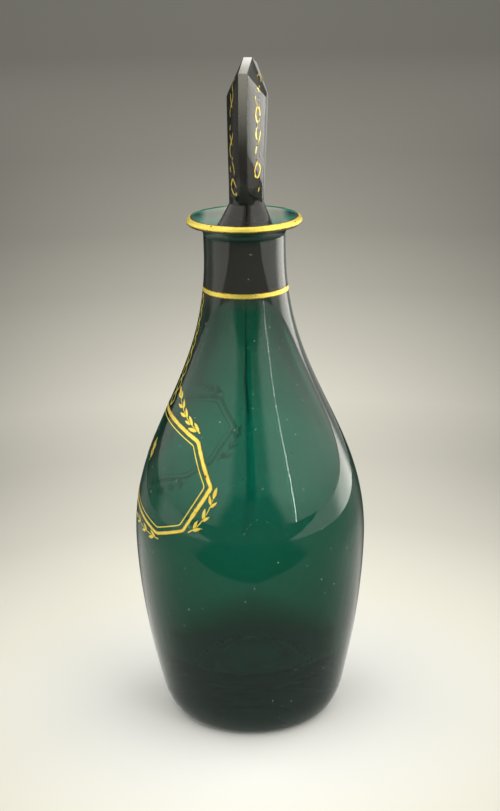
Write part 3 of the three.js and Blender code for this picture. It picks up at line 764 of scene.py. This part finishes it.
class RimChart:
    """Degrees round the lip, and the length up over its rounded edge."""

    def __init__(self):
        self.points = rim_curve(CURVE_POINTS)
        steps = np.linalg.norm(np.diff(self.points, axis=0), axis=1)
        self.lengths = np.concatenate([[0], np.cumsum(steps)])

    def at(self, v):
        return [float(np.interp(v, self.lengths, self.points[:, axis])) for axis in (0, 1)]

    def length_at_height(self, height):
        return float(np.interp(height, self.points[:, 1], self.lengths))

    def scale(self, u, v):
        return radians(LIP_RADIUS), 1

    def place(self, u, v, lift):
        radius, height = self.at(v)
        before = self.at(v - BRUSH_STEP / 4)
        after = self.at(v + BRUSH_STEP / 4)
        along = Vector((after[0] - before[0], after[1] - before[1])).normalized()
        radius += along.y * lift
        height -= along.x * lift
        turn = radians(u)
        return Vector((radius * sin(turn), -radius * cos(turn), height))


body_chart = BodyChart()
head_chart = HeadChart()
rim_chart = RimChart()


def to_left(start, end, scale):
    """The direction to the left of the way from the start to the end, in lengths."""
    return Vector((-(end[1] - start[1]) * scale[1], (end[0] - start[0]) * scale[0])).normalized()


class Film:
    """A piece of gilding: brush strokes on a chart, each one a thin closed film."""

    def __init__(self, chart, seed):
        self.chart = chart
        self.vertices = []
        self.faces = []
        self.edges = []
        self.layer = 0
        self.random = random.Random(seed)

    def scale_between(self, start, end):
        return self.chart.scale((start[0] + end[0]) / 2, (start[1] + end[1]) / 2)

    def resample(self, path, closed):
        """The path with a point every brush step."""
        loop = [*path, path[0]] if closed else list(path)
        points = [loop[0]]
        for start, end in zip(loop, loop[1:]):
            su, sv = self.scale_between(start, end)
            length = hypot((end[0] - start[0]) * su, (end[1] - start[1]) * sv)
            steps = max(1, round(length / BRUSH_STEP))
            points += [between(start, end, step / steps) for step in range(1, steps + 1)]
        return points[:-1] if closed else points

    def stroke(self, path, width, closed=False, waver_share=BRUSH_WAVER_SHARE):
        """A stroke along a path; the width is a function of the part of the way, from 0 to 1."""
        points = self.resample(path, closed)
        count = len(points)
        base = len(self.vertices)
        self.layer = (self.layer + 1) % LAYERS
        low = FILM_LIFT + self.layer * LAYER_STEP
        phase = self.random.random() / BRUSH_WAVE_LENGTH
        reach = count * BRUSH_STEP / BRUSH_WAVE_LENGTH / (2 * pi)
        for i, (u, v) in enumerate(points):
            before = points[(i - 1) % count] if closed or i else points[0]
            after = points[(i + 1) % count] if closed or i + 1 < count else points[-1]
            su, sv = self.chart.scale(u, v)
            side = to_left(before, after, (su, sv))
            half = width(i / max(1, count - 1)) / 2
            turn = 2 * pi * i / count
            for lift in (low, low + FILM_THICKNESS):
                for row in FILM_ROWS:
                    spot = Vector((i * BRUSH_STEP / BRUSH_WAVE_LENGTH, row, phase))
                    if closed:
                        spot = Vector((reach * cos(turn), reach * sin(turn), phase + row))
                    out = row * half * (1 + waver_share * noise.noise(spot) * abs(row))
                    self.vertices.append(self.chart.place(u + side.x * out / su, v + side.y * out / sv, lift))
                    self.edges.append(float(abs(row)))
        self.skin(base, count, closed)

    def skin(self, base, count, closed):
        rows = len(FILM_ROWS)
        ring = [*range(rows), *range(2 * rows - 1, rows - 1, -1)]
        for i in range(count if closed else count - 1):
            here = base + i * 2 * rows
            there = base + (i + 1) % count * 2 * rows
            for a, b in zip(ring, ring[1:] + ring[:1]):
                self.faces.append((here + a, there + a, there + b, here + b))
        if not closed:
            end = base + (count - 1) * 2 * rows
            for a in range(rows - 1):
                first = (a, a + 1, rows + a + 1, rows + a)
                self.faces.append(tuple(base + k for k in first))
                self.faces.append(tuple(end + k for k in reversed(first)))

    def leaf(self, root, heading, length, width, curl=0.0):
        """A pointed leaf from the root along the heading, in radians from +u."""
        path = [root]
        for step in range(LEAF_STEPS):
            u, v = path[-1]
            su, sv = self.chart.scale(u, v)
            turn = heading + curl * step / LEAF_STEPS
            path.append((u + cos(turn) * length / LEAF_STEPS / su, v + sin(turn) * length / LEAF_STEPS / sv))
        self.stroke(path, lambda part: max(
            LEAF_POINT_WIDTH, width * sin(pi * part ** LEAF_FULLNESS) ** LEAF_FULLNESS))

    def heading(self, path, part):
        index = min(len(path) - 2, int(part * (len(path) - 1)))
        (u, v), (u2, v2) = path[index], path[index + 1]
        su, sv = self.chart.scale(u, v)
        return atan2((v2 - v) * sv, (u2 - u) * su)

    def spray(self, path, pairs):
        """A stem with pairs of leaves along it and one at its tip."""
        self.stroke(path, lambda part: STEM_WIDTH * (STEM_ROOT_SHARE - STEM_TAPER_SHARE * part))
        for pair in range(pairs):
            for hand in (1, -1):
                part = (pair + 0.5 + LEAF_STAGGER_SHARE * hand) / pairs
                size = 1 - LEAF_SHRINK_SHARE * part + LEAF_SIZE_VARIES_SHARE * self.random.uniform(-1, 1)
                splay = LEAF_SPLAY * (1 + LEAF_SPLAY_VARIES_SHARE * self.random.uniform(-1, 1))
                root = path[min(len(path) - 1, int(part * (len(path) - 1)))]
                turn = self.heading(path, part) + hand * splay
                self.leaf(root, turn, LEAF_LENGTH * size, LEAF_WIDTH * size, -hand * LEAF_CURL)
        self.leaf(path[-2], self.heading(path, 1), LEAF_LENGTH, LEAF_WIDTH)

    def chain(self, corners, link_counts):
        """A chain of oval links drawn as two wires that cross between the links."""
        for hand in (1, -1):
            path = []
            knots = []
            for run, links in enumerate(link_counts):
                start, end = corners[run], corners[run + 1]
                su, sv = self.scale_between(start, end)
                side = to_left(start, end, (su, sv))
                steps = links * LINK_STEPS
                for step in range(min(run, 1), steps + 1):
                    swing = hand * CHAIN_LINK_WIDTH / 2 * sin(pi * step / LINK_STEPS)
                    u, v = between(start, end, step / steps)
                    path.append((u + side.x * swing / su, v + side.y * swing / sv))
                    knots.append(abs(cos(pi * step / LINK_STEPS)) ** CHAIN_KNOT_POWER)
            count = len(knots) - 1
            self.stroke(path, lambda part: CHAIN_WIRE_WIDTH * (
                1 + CHAIN_KNOT_SHARE * knots[round(part * count)]))

    def piece(self, name, material, rubbed=0.0):
        made = mesh_object(name, self.vertices, self.faces, material)
        add_number(made.data, "edge", self.edges)
        add_number(made.data, "rubbed", [rubbed] * len(self.vertices))
        work = bmesh.new()
        work.from_mesh(made.data)
        bmesh.ops.recalc_face_normals(work, faces=work.faces)
        work.to_mesh(made.data)
        work.free()
        smooth(made)
        return made


def even(width):
    return lambda part: width


def ticket_point(shares, hand=1):
    angle_share, height_share = shares
    return hand * angle_share * TICKET_HALF_ANGLE, mixed(TICKET_BASE, TICKET_TOP, height_share)


def rounded(corners, fixed):
    """A closed path on the bottle with its corners cut short and rounded, but for the fixed ones."""
    path = []
    for i, corner in enumerate(corners):
        if i in fixed:
            path.append(corner)
            continue
        su, sv = body_chart.scale(*corner)
        ends = []
        for other in (corners[i - 1], corners[(i + 1) % len(corners)]):
            length = hypot((other[0] - corner[0]) * su, (other[1] - corner[1]) * sv)
            ends.append(between(corner, other, min(CORNER_CUT_MOST_SHARE, CORNER_CUT / length)))
        path.extend(bezier([ends[0], corner, ends[1]], CORNER_POINTS))
    return path


def ticket_corners():
    """The ticket's outline, clockwise from its left top corner, and which points make its bowed top."""
    corner_u, corner_v = ticket_point(TOP_CORNER_SHARES)
    top = []
    for step in range(-TICKET_TOP_STEPS, TICKET_TOP_STEPS + 1):
        across = step / TICKET_TOP_STEPS
        fall = (TICKET_TOP - corner_v) * abs(across) ** TICKET_TOP_BOW
        top.append((corner_u * across, TICKET_TOP - fall))
    edges = [SIDE_CORNER_SHARES, FOOT_CORNER_SHARES, POINT_CORNER_SHARES, BASE_MIDDLE_SHARES]
    right = [ticket_point(shares) for shares in edges]
    left = [ticket_point(shares, -1) for shares in edges[-2::-1]]
    return [*top, *right, *left], range(1, 2 * TICKET_TOP_STEPS)


def moved_in(path, distance):
    """A closed clockwise path on the bottle, moved inwards by the distance."""
    moved = []
    for i, (u, v) in enumerate(path):
        before = path[i - 1]
        after = path[(i + 1) % len(path)]
        su, sv = body_chart.scale(u, v)
        first = Vector(((u - before[0]) * su, (v - before[1]) * sv)).normalized()
        second = Vector(((after[0] - u) * su, (after[1] - v) * sv)).normalized()
        mitre = (Vector((first.y, -first.x)) + Vector((second.y, -second.x))) / (1 + first.dot(second))
        moved.append((u + mitre.x * distance / su, v + mitre.y * distance / sv))
    return moved


def border_piece(material):
    film = Film(body_chart, "border")
    corners, top = ticket_corners()
    path = rounded(corners, top)
    top_share = len(top) / len(path)
    film.stroke(path, lambda part: TOP_BORDER_WIDTH if part < top_share else BORDER_WIDTH, closed=True)
    return film.piece("gilt_ticket_border", material)


def inner_line_piece(material):
    film = Film(body_chart, "inner line")
    corners, top = ticket_corners()
    film.stroke(rounded(moved_in(corners, INNER_LINE_GAP), top), even(INNER_LINE_WIDTH), closed=True)
    return film.piece("gilt_ticket_inner_line", material)


def ring_path(v):
    return [(u, v) for u in range(0, 360 + RING_STEP_DEGREES, RING_STEP_DEGREES)]


def neck_ring_piece(material):
    film = Film(body_chart, "neck ring")
    film.stroke(ring_path(NECK_RING_HEIGHT), even(NECK_RING_WIDTH))
    return film.piece("gilt_neck_ring", material)


def lip_band_piece(material):
    film = Film(rim_chart, "lip band")
    low = rim_chart.length_at_height(LIP_HEIGHT - LIP_BAND_HEIGHT)
    high = rim_chart.lengths[-1] - BRUSH_STEP
    film.stroke(ring_path((low + high) / 2), even(high - low), waver_share=LIP_BAND_WAVER_SHARE)
    return film.piece("gilt_lip_band", material)


def spray_piece(name, shares, pairs, hand, material):
    film = Film(body_chart, name)
    film.spray(bezier([ticket_point(share, hand) for share in shares], SPRAY_POINTS), pairs)
    return film.piece(name, material)


def sprig_piece(name, hand, material):
    film = Film(body_chart, name)
    u, v = ticket_point((SPRIG_ANGLE_SHARE, ORNAMENT_HEIGHT_SHARE), hand)
    half = SPRIG_HEIGHT / 2
    film.spray(bezier([(u, v - half), (u, v + half)], SPRIG_POINTS), SPRIG_PAIRS)
    return film.piece(name, material)


def rosette_piece(material):
    film = Film(body_chart, "rosette")
    u, v = ticket_point((0, ORNAMENT_HEIGHT_SHARE))
    for petal in range(ROSETTE_PETALS):
        film.leaf((u, v), 2 * pi * petal / ROSETTE_PETALS, ROSETTE_RADIUS, LEAF_WIDTH)
    button = [(u, v - ROSETTE_BUTTON / 2), (u, v + ROSETTE_BUTTON / 2)]
    film.stroke(button, lambda part: ROSETTE_BUTTON * sqrt(max(BUTTON_END_SHARE, 1 - (2 * part - 1) ** 2)))
    return film.piece("gilt_ticket_rosette", material)


def ticket_chain_piece(name, hand, material):
    film = Film(body_chart, name)
    top = NECK_RING_HEIGHT - NECK_RING_WIDTH / 2 - CHAIN_GAP
    foot = TICKET_TOP + TOP_BORDER_WIDTH / 2 + CHAIN_GAP
    film.chain([(hand * CHAIN_TOP_ANGLE, top), (hand * CHAIN_FOOT_ANGLE, foot)], [CHAIN_LINKS])
    return film.piece(name, material)


def head_chain_piece(name, turn, material):
    """The gilt chain round the bevels of one face of the stopper."""
    film = Film(head_chart, name)
    middle = BEVEL_WIDTH / 2
    peak = (0, HEAD_TOP - middle / cos(HEAD_TOP_SLOPE))
    mitre_x = HEAD_HALF_WIDTH - middle
    mitre = (mitre_x, peak[1] - mitre_x * tan(HEAD_TOP_SLOPE))
    width_share, height_share = HEAD_CHAIN_FOOT_SHARES
    foot = (HEAD_HALF_WIDTH * width_share, mixed(WAIST_HEIGHT, HEAD_TOP, height_share))
    corners = [(-foot[0], foot[1]), (-mitre[0], mitre[1]), peak, mitre, foot]
    film.chain(corners, [HEAD_SIDE_LINKS, HEAD_TOP_LINKS, HEAD_TOP_LINKS, HEAD_SIDE_LINKS])
    move = on_head() @ Matrix.Rotation(turn, 4, "Z")
    film.vertices = [move @ vertex for vertex in film.vertices]
    return film.piece(name, material, 1.0)


def reckoning(operation, swapped=False):
    """A way to reckon with a Number and another number."""
    def reckon(one, other):
        return one.nodes.math(operation, *((other, one) if swapped else (one, other)))
    return reckon


class Number:
    """A number in a shader tree; what is reckoned with it becomes a node of that tree."""

    def __init__(self, nodes, socket):
        self.nodes = nodes
        self.socket = socket

    def __neg__(self):
        return self * -1

    def __abs__(self):
        return self.nodes.math("ABSOLUTE", self)

    __add__ = __radd__ = reckoning("ADD")
    __sub__ = reckoning("SUBTRACT")
    __rsub__ = reckoning("SUBTRACT", swapped=True)
    __mul__ = __rmul__ = reckoning("MULTIPLY")
    __truediv__ = reckoning("DIVIDE")
    __pow__ = reckoning("POWER")
    __lt__ = reckoning("LESS_THAN")
    __gt__ = reckoning("GREATER_THAN")


class Nodes:
    """Short ways to add and link the nodes of one shader tree."""

    def __init__(self, tree):
        self.tree = tree
        tree.nodes.clear()

    def add(self, kind, inputs=None, **settings):
        """Adds a node and gives its inputs, by name or by place, a value or a link each."""
        node = self.tree.nodes.new(kind)
        for name, value in settings.items():
            setattr(node, name, value)
        self.fill(node, inputs or {})
        return node

    def fill(self, node, inputs):
        for key, value in inputs.items():
            value = value.socket if isinstance(value, Number) else value
            if isinstance(value, bpy.types.NodeSocket):
                self.tree.links.new(value, node.inputs[key])
            else:
                node.inputs[key].default_value = value

    def math(self, operation, *values):
        node = self.add("ShaderNodeMath", dict(enumerate(values)), operation=operation)
        return Number(self, node.outputs[0])

    def vector_math(self, operation, inputs):
        return self.add("ShaderNodeVectorMath", inputs, operation=operation).outputs

    def highest(self, first, *others):
        for other in others:
            first = self.math("MAXIMUM", first, other)
        return first

    def ramp(self, value, low, high, to_low=0, to_high=1):
        """A soft step from one number, below low, to another, above high."""
        inputs = {"Value": value, "From Min": low, "From Max": high, "To Min": to_low, "To Max": to_high}
        node = self.add("ShaderNodeMapRange", inputs, interpolation_type="SMOOTHSTEP")
        return Number(self, node.outputs[0])

    def window(self, value, low, high, soft):
        """1 between low and high, with soft ends."""
        return self.ramp(value, low - soft, low + soft) * self.ramp(value, high - soft, high + soft, 1, 0)

    def noise(self, scale, detail, place):
        node = self.add("ShaderNodeTexNoise", {"Scale": scale, "Detail": detail, "Vector": place})
        return Number(self, node.outputs["Fac"])

    def mix(self, factor, first, second):
        """The first colour where the factor is 0, the second where it is 1."""
        return self.add("ShaderNodeMix", {0: factor, 6: first, 7: second}, data_type="RGBA").outputs[2]

    def mix_shaders(self, factor, first, second):
        inputs = {0: factor, 1: first.outputs[0], 2: second.outputs[0]}
        return self.add("ShaderNodeMixShader", inputs).outputs[0]

    def attribute(self, name):
        return Number(self, self.add("ShaderNodeAttribute", attribute_name=name).outputs["Fac"])

    def bump(self, height, distance):
        return self.add("ShaderNodeBump", {"Strength": 1, "Distance": distance, "Height": height}).outputs[0]

    def split(self, vector):
        """The x, y and z of a vector."""
        return [Number(self, socket) for socket in self.add("ShaderNodeSeparateXYZ", {0: vector}).outputs]

    def place_on_piece(self):
        """The place on a piece at rest, which rides along when the piece moves."""
        return self.add("ShaderNodeTexCoord").outputs["Object"]

    def light_path(self, name):
        return Number(self, self.add("ShaderNodeLightPath").outputs[name])


def new_material(name):
    material = bpy.data.materials.new(name)
    material.use_nodes = True
    nodes = Nodes(material.node_tree)
    shader = nodes.add("ShaderNodeBsdfPrincipled")
    output = nodes.add("ShaderNodeOutputMaterial", {"Surface": shader.outputs[0]})
    return material, nodes, shader, output


def edge_highlight(nodes, place):
    """A painted highlight on the narrow edges of the stopper's head, most at the top."""
    x, y, z = nodes.split(place)
    lean = (z - WAIST_HEIGHT) * tan(HEAD_LEAN) + HEAD_SHIFT
    narrow = abs(y - lean) < EDGE_WIDTH / 2
    outer = nodes.highest(abs(x) > HEAD_HALF_WIDTH / 2, z > HEAD_CORNER_HEIGHT)
    return narrow * outer * nodes.ramp(z, EDGE_HIGHLIGHT_FOOT, HEAD_TOP, 0, EDGE_HIGHLIGHT_SHARE)


def flank_haze(nodes, place):
    """The haze on the stopper's head above its stem, thicker on the +X half of its back."""
    x, _, z = nodes.split(place)
    _, backward, _ = nodes.split(nodes.add("ShaderNodeNewGeometry").outputs["True Normal"])
    haze = nodes.ramp(backward, *BACK_HAZE_RAMP) * nodes.ramp(x, 0, HEAD_HALF_WIDTH / 2)
    return nodes.highest(haze, FRONT_HAZE_SHARE) * nodes.ramp(z, *STEM_HAZE_RAMP)


def glass_material(name, colour, density, veil_colour):
    """Clear glass coloured in the mass, with ground places, a veil of dust, haze and specks, a painted
    reflection inside the lip and painted highlights on the stopper.
    """
    material, nodes, shader, output = new_material(name)
    place = nodes.place_on_piece()
    _, _, height = nodes.split(place)
    ground, funnel, bottle, head = [nodes.attribute(key) for key in ("ground", "funnel", "bottle", "stopper_haze_and_highlight")]
    neck = bottle * nodes.window(height, NECK_HAZE_FOOT, SEAT_TOP, NECK_HAZE_SOFT)
    grain = ground * nodes.noise(GROUND_GRAIN_SCALE, GROUND_GRAIN_DETAIL, place)
    nodes.fill(shader, {
        "Base Color": nodes.mix(neck, WHITE, NECK_TINT),
        "Transmission Weight": 1,
        "IOR": GLASS_IOR,
        "Roughness": ground * GROUND_ROUGHNESS,
        "Normal": nodes.bump(grain, GROUND_GRAIN_DEPTH),
    })
    specks = bottle * nodes.ramp(nodes.noise(SPECK_SCALE, 0, place), *SPECK_RAMP)
    # The stopper's haze, with a painted highlight on its narrow edges
    stopper_haze_and_highlight = head * nodes.highest(edge_highlight(nodes, place), flank_haze(nodes, place))
    # The veil's share: dust, the neck's haze, specks, the stopper's haze and painted highlights, and the
    # painted reflection inside the lip
    share = nodes.highest(mixed(VEIL_SHARE, NECK_HAZE_SHARE, neck), stopper_haze_and_highlight, funnel * FUNNEL_REFLECTION_SHARE, specks)
    # Pale tone for the neck's haze, the specks and the painted reflection inside the lip
    pale = nodes.highest(neck, funnel, nodes.math("SIGN", specks))
    # Painted highlight: the veil turns white towards the top of the stopper's head
    peak = head * nodes.ramp(height, HEAD_CORNER_HEIGHT, HEAD_TOP)
    tone = nodes.mix(peak, nodes.mix(pale, veil_colour, PALE_HAZE_AND_GLARE), WHITE)
    veil_and_glare = nodes.add("ShaderNodeBsdfDiffuse", {"Color": tone})
    volume = nodes.add("ShaderNodeVolumeAbsorption", {"Color": colour, "Density": density})
    nodes.fill(output, {"Surface": nodes.mix_shaders(share, shader, veil_and_glare), "Volume": volume.outputs[0]})
    return material


def gold_alpha(nodes, place, geometry):
    """Full from outside, thin from behind through the glass, and gone where a rubbed piece is worn off."""
    outward = nodes.vector_math("MULTIPLY", {0: place, 1: (1, 1, 0)})[0]
    outward = nodes.vector_math("NORMALIZE", {0: outward})[0]
    facing = nodes.vector_math("DOT_PRODUCT", {0: outward, 1: geometry["True Normal"]})["Value"]
    from_behind = nodes.highest(Number(nodes, facing) < FILM_BACK_TURN, geometry["Backfacing"])
    rubbed = nodes.attribute("rubbed") * nodes.ramp(nodes.noise(RUB_SCALE, RUB_DETAIL, place), *RUB_RAMP)
    return mixed(1, FILM_BACK_ALPHA, from_behind) * (1 - rubbed)


def gold_material():
    """Fired gilding: burnished gold over a brown ground that shows along the worn edges, and the same brown
    as painted shade where it faces down.
    """
    material, nodes, shader, _ = new_material("fired_gilding")
    place = nodes.place_on_piece()
    geometry = nodes.add("ShaderNodeNewGeometry").outputs
    _, _, upward = nodes.split(geometry["Normal"])
    grain = nodes.noise(GRAIN_SCALE, GOLD_DETAIL, place)
    patches = nodes.noise(PATCH_SCALE, GOLD_DETAIL, place)
    bright = nodes.mix(nodes.ramp(patches, *TONE_RAMP), GOLD, DEEP_GOLD)
    # Real wear along the edges and in patches, and painted shade on faces that point down
    worn_and_shaded = nodes.highest(
        nodes.ramp(nodes.attribute("edge") + (grain - 0.5) * GRAIN_WEAR_SHARE, *EDGE_WEAR_RAMP),
        nodes.ramp(patches, *PATCH_WEAR_RAMP),
        nodes.ramp(upward, *UNDERSIDE_SHADE_RAMP),
    )
    nodes.fill(shader, {
        "Base Color": nodes.mix(worn_and_shaded, bright, BROWN_GROUND_AND_SHADE),
        "Metallic": GOLD_METALLIC,
        "Roughness": nodes.ramp(patches, *ROUGHNESS_RAMP),
        "Normal": nodes.bump(grain, GRAIN_DEPTH),
        "Alpha": gold_alpha(nodes, place, geometry),
    })
    return material


def make_camera():
    data = bpy.data.cameras.new("camera")
    data.sensor_width = SENSOR_MM
    data.lens = FOCAL_PIXELS / PHOTO_HEIGHT_PIXELS * SENSOR_MM
    right = Vector((cos(CAMERA_YAW), -sin(CAMERA_YAW), 0))
    level = Vector((sin(CAMERA_YAW), cos(CAMERA_YAW), 0))
    forward = level * cos(CAMERA_PITCH) - Vector((0, 0, sin(CAMERA_PITCH)))
    up = right.cross(forward)
    across = right * cos(CAMERA_ROLL) + up * sin(CAMERA_ROLL)
    upward = up * cos(CAMERA_ROLL) - right * sin(CAMERA_ROLL)
    turn = Matrix.Rotation(STUDIO_TURN, 4, "Z")
    axes = Matrix((across, upward, -forward)).transposed().to_4x4()
    camera = bpy.data.objects.new("camera", data)
    camera.matrix_world = turn @ Matrix.Translation((0, -CAMERA_DISTANCE, CAMERA_HEIGHT)) @ axes
    bpy.context.scene.collection.objects.link(camera)
    bpy.context.scene.camera = camera


def studio_axes(nodes, vector):
    """The x, y and z of a vector in the studio's axes, a fixed turn about Z away from this frame."""
    inputs = {"Vector": vector, "Angle": -STUDIO_TURN}
    return nodes.split(nodes.add("ShaderNodeVectorRotate", inputs, rotation_type="Z_AXIS").outputs[0])


def sees_reflection(nodes):
    """1 for light that the outside of the glass or the gilding mirrors, and 0 for all other light."""
    return nodes.light_path("Is Glossy Ray") * (1 - nodes.light_path("Is Transmission Ray"))


def tent_level(nodes, x, y, z):
    """Brightness of the tent of light by direction: bright sides, a ceiling and a dark slot in front."""
    away = nodes.math("ARCTAN2", x, -y)
    size = abs(away)
    height = nodes.math("ARCSINE", z)
    widen = nodes.ramp(height, *SLOT_SPREAD_RAMP)
    slot = nodes.window(away, -SLOT_LEFT - widen, SLOT_RIGHT + widen, SLOT_SOFT)
    side = nodes.ramp(away, -SIDE_BLEND, SIDE_BLEND, LEFT_LEVEL, RIGHT_LEVEL)
    side *= nodes.ramp(height, *SIDE_HEIGHT_RAMP) * nodes.ramp(size, *BACK_RAMP)
    core = nodes.window(away, -CORE_LEFT, CORE_RIGHT, CORE_SOFT) * nodes.ramp(height, *CORE_HEIGHT_RAMP)
    inner = nodes.ramp(height, *SLOT_LEVEL_RAMP) * mixed(1, CORE_SHARE, core)
    level = mixed(mixed(side, inner, slot), CEILING_LEVEL, nodes.ramp(height, *CEILING_RAMP))
    strip_left = STRIP_ANGLE - STRIP_HALF_WIDTH
    strip = nodes.window(away, strip_left, STRIP_ANGLE + STRIP_HALF_WIDTH, STRIP_HALF_WIDTH / 2)
    strip *= nodes.ramp(height, *STRIP_HEIGHT_RAMP)
    lamp = nodes.ramp(height, *LAMP_HEIGHT_RAMP) * nodes.ramp(size, *LAMP_BACK_RAMP) * sees_reflection(nodes)
    return level + strip * STRIP_LEVEL + lamp * LAMP_LEVEL


def make_light():
    world = bpy.data.worlds.new("studio")
    world.use_nodes = True
    bpy.context.scene.world = world
    nodes = Nodes(world.node_tree)
    direction = nodes.add("ShaderNodeTexCoord").outputs["Generated"]
    level = tent_level(nodes, *studio_axes(nodes, direction))
    light = nodes.add("ShaderNodeBackground", {"Color": LIGHT_COLOUR, "Strength": level})
    backdrop = nodes.add("ShaderNodeBackground", {"Color": BACKDROP_COLOUR})
    choice = nodes.mix_shaders(nodes.light_path("Is Camera Ray"), light, backdrop)
    nodes.add("ShaderNodeOutputWorld", {"Surface": choice})


def mirrored_level(nodes, x, y, distance):
    """Brightness of the painted reflection the floor glows with as the glass mirrors it: a sheet that ends in
    front, and what lies beyond.
    """
    away = nodes.math("ARCTAN2", x, -y)
    size = abs(away)
    beside = nodes.ramp(size, *BESIDE_RAMP) * nodes.ramp(distance, *BESIDE_REACH_RAMP)
    walls = [nodes.ramp(away, *ramp) for ramp in (LEFT_WALL_RAMP, RIGHT_WALL_RAMP)]
    wall = mixed(*walls, nodes.ramp(away, 0, SIDE_BLEND))
    far = nodes.ramp(distance, *SHEET_REACH_RAMP)
    level = mixed(SHEET_LEVEL + beside, wall, far)
    aside = abs(x) + y * DARK_SPREAD - nodes.highest(-DARK_FAR_START - y, 0) * DARK_FAR_SPREAD
    front = nodes.ramp(y, *SHEET_FRONT_RAMP) * nodes.ramp(aside, *DARK_SIDE_RAMP)
    level = mixed(level, nodes.ramp(distance, *DARK_LEVEL_RAMP), front)
    return level * mixed(nodes.ramp(size, *BACK_RAMP), nodes.ramp(size, *FAR_BACK_RAMP), far)


def floor_grey(nodes, distance):
    """The floor's colour by its distance from the bottle: a painted pool of light, palest by the foot, where
    it also lightens the bottle's shadow.
    """
    ramp = nodes.add("ShaderNodeValToRGB", {0: distance / FLOOR_RAMP_LENGTH})
    while len(ramp.color_ramp.elements) < len(FLOOR_GREYS):
        ramp.color_ramp.elements.new(1)
    for element, (reach, grey) in zip(ramp.color_ramp.elements, FLOOR_GREYS):
        element.position = reach / FLOOR_RAMP_LENGTH
        tint = WHITE if reach < FALL_START else LIGHT_COLOUR
        element.color = (*[grey * share for share in tint[:3]], 1)
    return ramp.outputs["Color"]


def side_fall(nodes, x, y, distance):
    """How much darker the floor gets to both sides: a painted fall of the light."""
    fall = abs(x / (abs(y) + CAMERA_DISTANCE)) ** FALL_POWER * FALL_RATE
    fall *= nodes.ramp(distance, FALL_START, FALL_FULL) * nodes.ramp(distance, *FALL_FADE_RAMP)
    return nodes.math("MINIMUM", fall, FALL_MOST)


def glimpsed_share(nodes, x, y, distance):
    """How bright the floor shows through the glass: painted shadow in the bottle's lee and along a streak."""
    deepest = nodes.ramp(y, *STREAK_LEVEL_RAMP)
    streak = nodes.ramp(abs(x - STREAK_PLACE), 0, STREAK_HALF_WIDTH, deepest, 1)
    along = nodes.window(y, STREAK_START, STREAK_END, STREAK_SOFT)
    return nodes.ramp(distance, *LEE_RAMP) * mixed(1, streak, along)


def floor_material():
    """A pale sheet with a painted pool of light, white where the bottle stands and greyer with the distance
    behind it, and a painted glow where the glass mirrors it.
    """
    material, nodes, shader, _ = new_material("pale_floor")
    place = nodes.add("ShaderNodeNewGeometry").outputs["Position"]
    x, y, _ = studio_axes(nodes, place)
    distance = Number(nodes, nodes.vector_math("LENGTH", {0: place})["Value"])
    through = nodes.light_path("Is Transmission Ray")
    shade = 1 - side_fall(nodes, x, y, distance)
    shade *= mixed(1, glimpsed_share(nodes, x, y, distance), through)
    seen = nodes.vector_math("SCALE", {0: floor_grey(nodes, distance), "Scale": shade})[0]
    mirrored = sees_reflection(nodes)
    nodes.fill(shader, {
        "Base Color": nodes.mix(mirrored, seen, BLACK),
        "Roughness": 1,
        "Specular IOR Level": 0,
        # Painted reflection: for mirrored light the floor is black and glows, unlit, with a set pattern
        "Emission Color": LIGHT_COLOUR,
        "Emission Strength": mirrored * mirrored_level(nodes, x, y, distance),
    })
    material.cycles.emission_sampling = "NONE"
    return material


def make_floor():
    rim = circle(FLOOR_RADIUS, 0, FLOOR_SEGMENTS)
    floor = mesh_object("floor", rim, [tuple(range(FLOOR_SEGMENTS))], floor_material())


def dress(piece, body, slot, *nodes):
    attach(piece, body)
    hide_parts(*nodes)


def make_bottle(gold):
    glass = glass_material("green_glass", BODY_COLOUR, BODY_DENSITY, BODY_VEIL)
    dress(bottle_piece(glass), "decanter", "glass", "decanter_body")
    for node, make in (
        ("neck_gilding", neck_ring_piece), ("lip_gilding", lip_band_piece), ("ticket_border", border_piece),
        ("ticket_inner_line", inner_line_piece), ("ticket_rosette", rosette_piece),
    ):
        dress(make(gold), "decanter", "gilding", node)
    sprays = [
        ("top_spray_", TOP_SPRAY_SHARES, TOP_SPRAY_PAIRS),
        ("side_spray_", SIDE_SPRAY_SHARES, SIDE_SPRAY_PAIRS),
        ("bottom_spray_", BOTTOM_SPRAY_SHARES, BOTTOM_SPRAY_PAIRS),
    ]
    for side, hand in (("left", -1), ("right", 1)):
        for stem, shares, pairs in sprays:
            node = stem + side
            dress(spray_piece("gilt_" + node, shares, pairs, hand, gold), "decanter", "gilding", node)
        for stem, make in (("ticket_sprig_", sprig_piece), ("ticket_chain_", ticket_chain_piece)):
            node = stem + side
            dress(make("gilt_" + node, hand, gold), "decanter", "gilding", node)


def make_stopper(gold):
    glass = glass_material("stopper_glass", STOPPER_COLOUR, STOPPER_DENSITY, STOPPER_VEIL)
    dress(stopper_piece(glass), "stopper", "stopper_glass", "stopper")
    for side, turn in (("front", 0), ("back", pi)):
        chain = head_chain_piece("gilt_stopper_chain_" + side, turn, gold)
        dress(chain, "stopper", "gilding", "stopper_chain_" + side)


bpy.context.scene.view_settings.view_transform = "Standard"
make_camera()
make_light()
make_floor()
gold = gold_material()
make_bottle(gold)
make_stopper(gold)
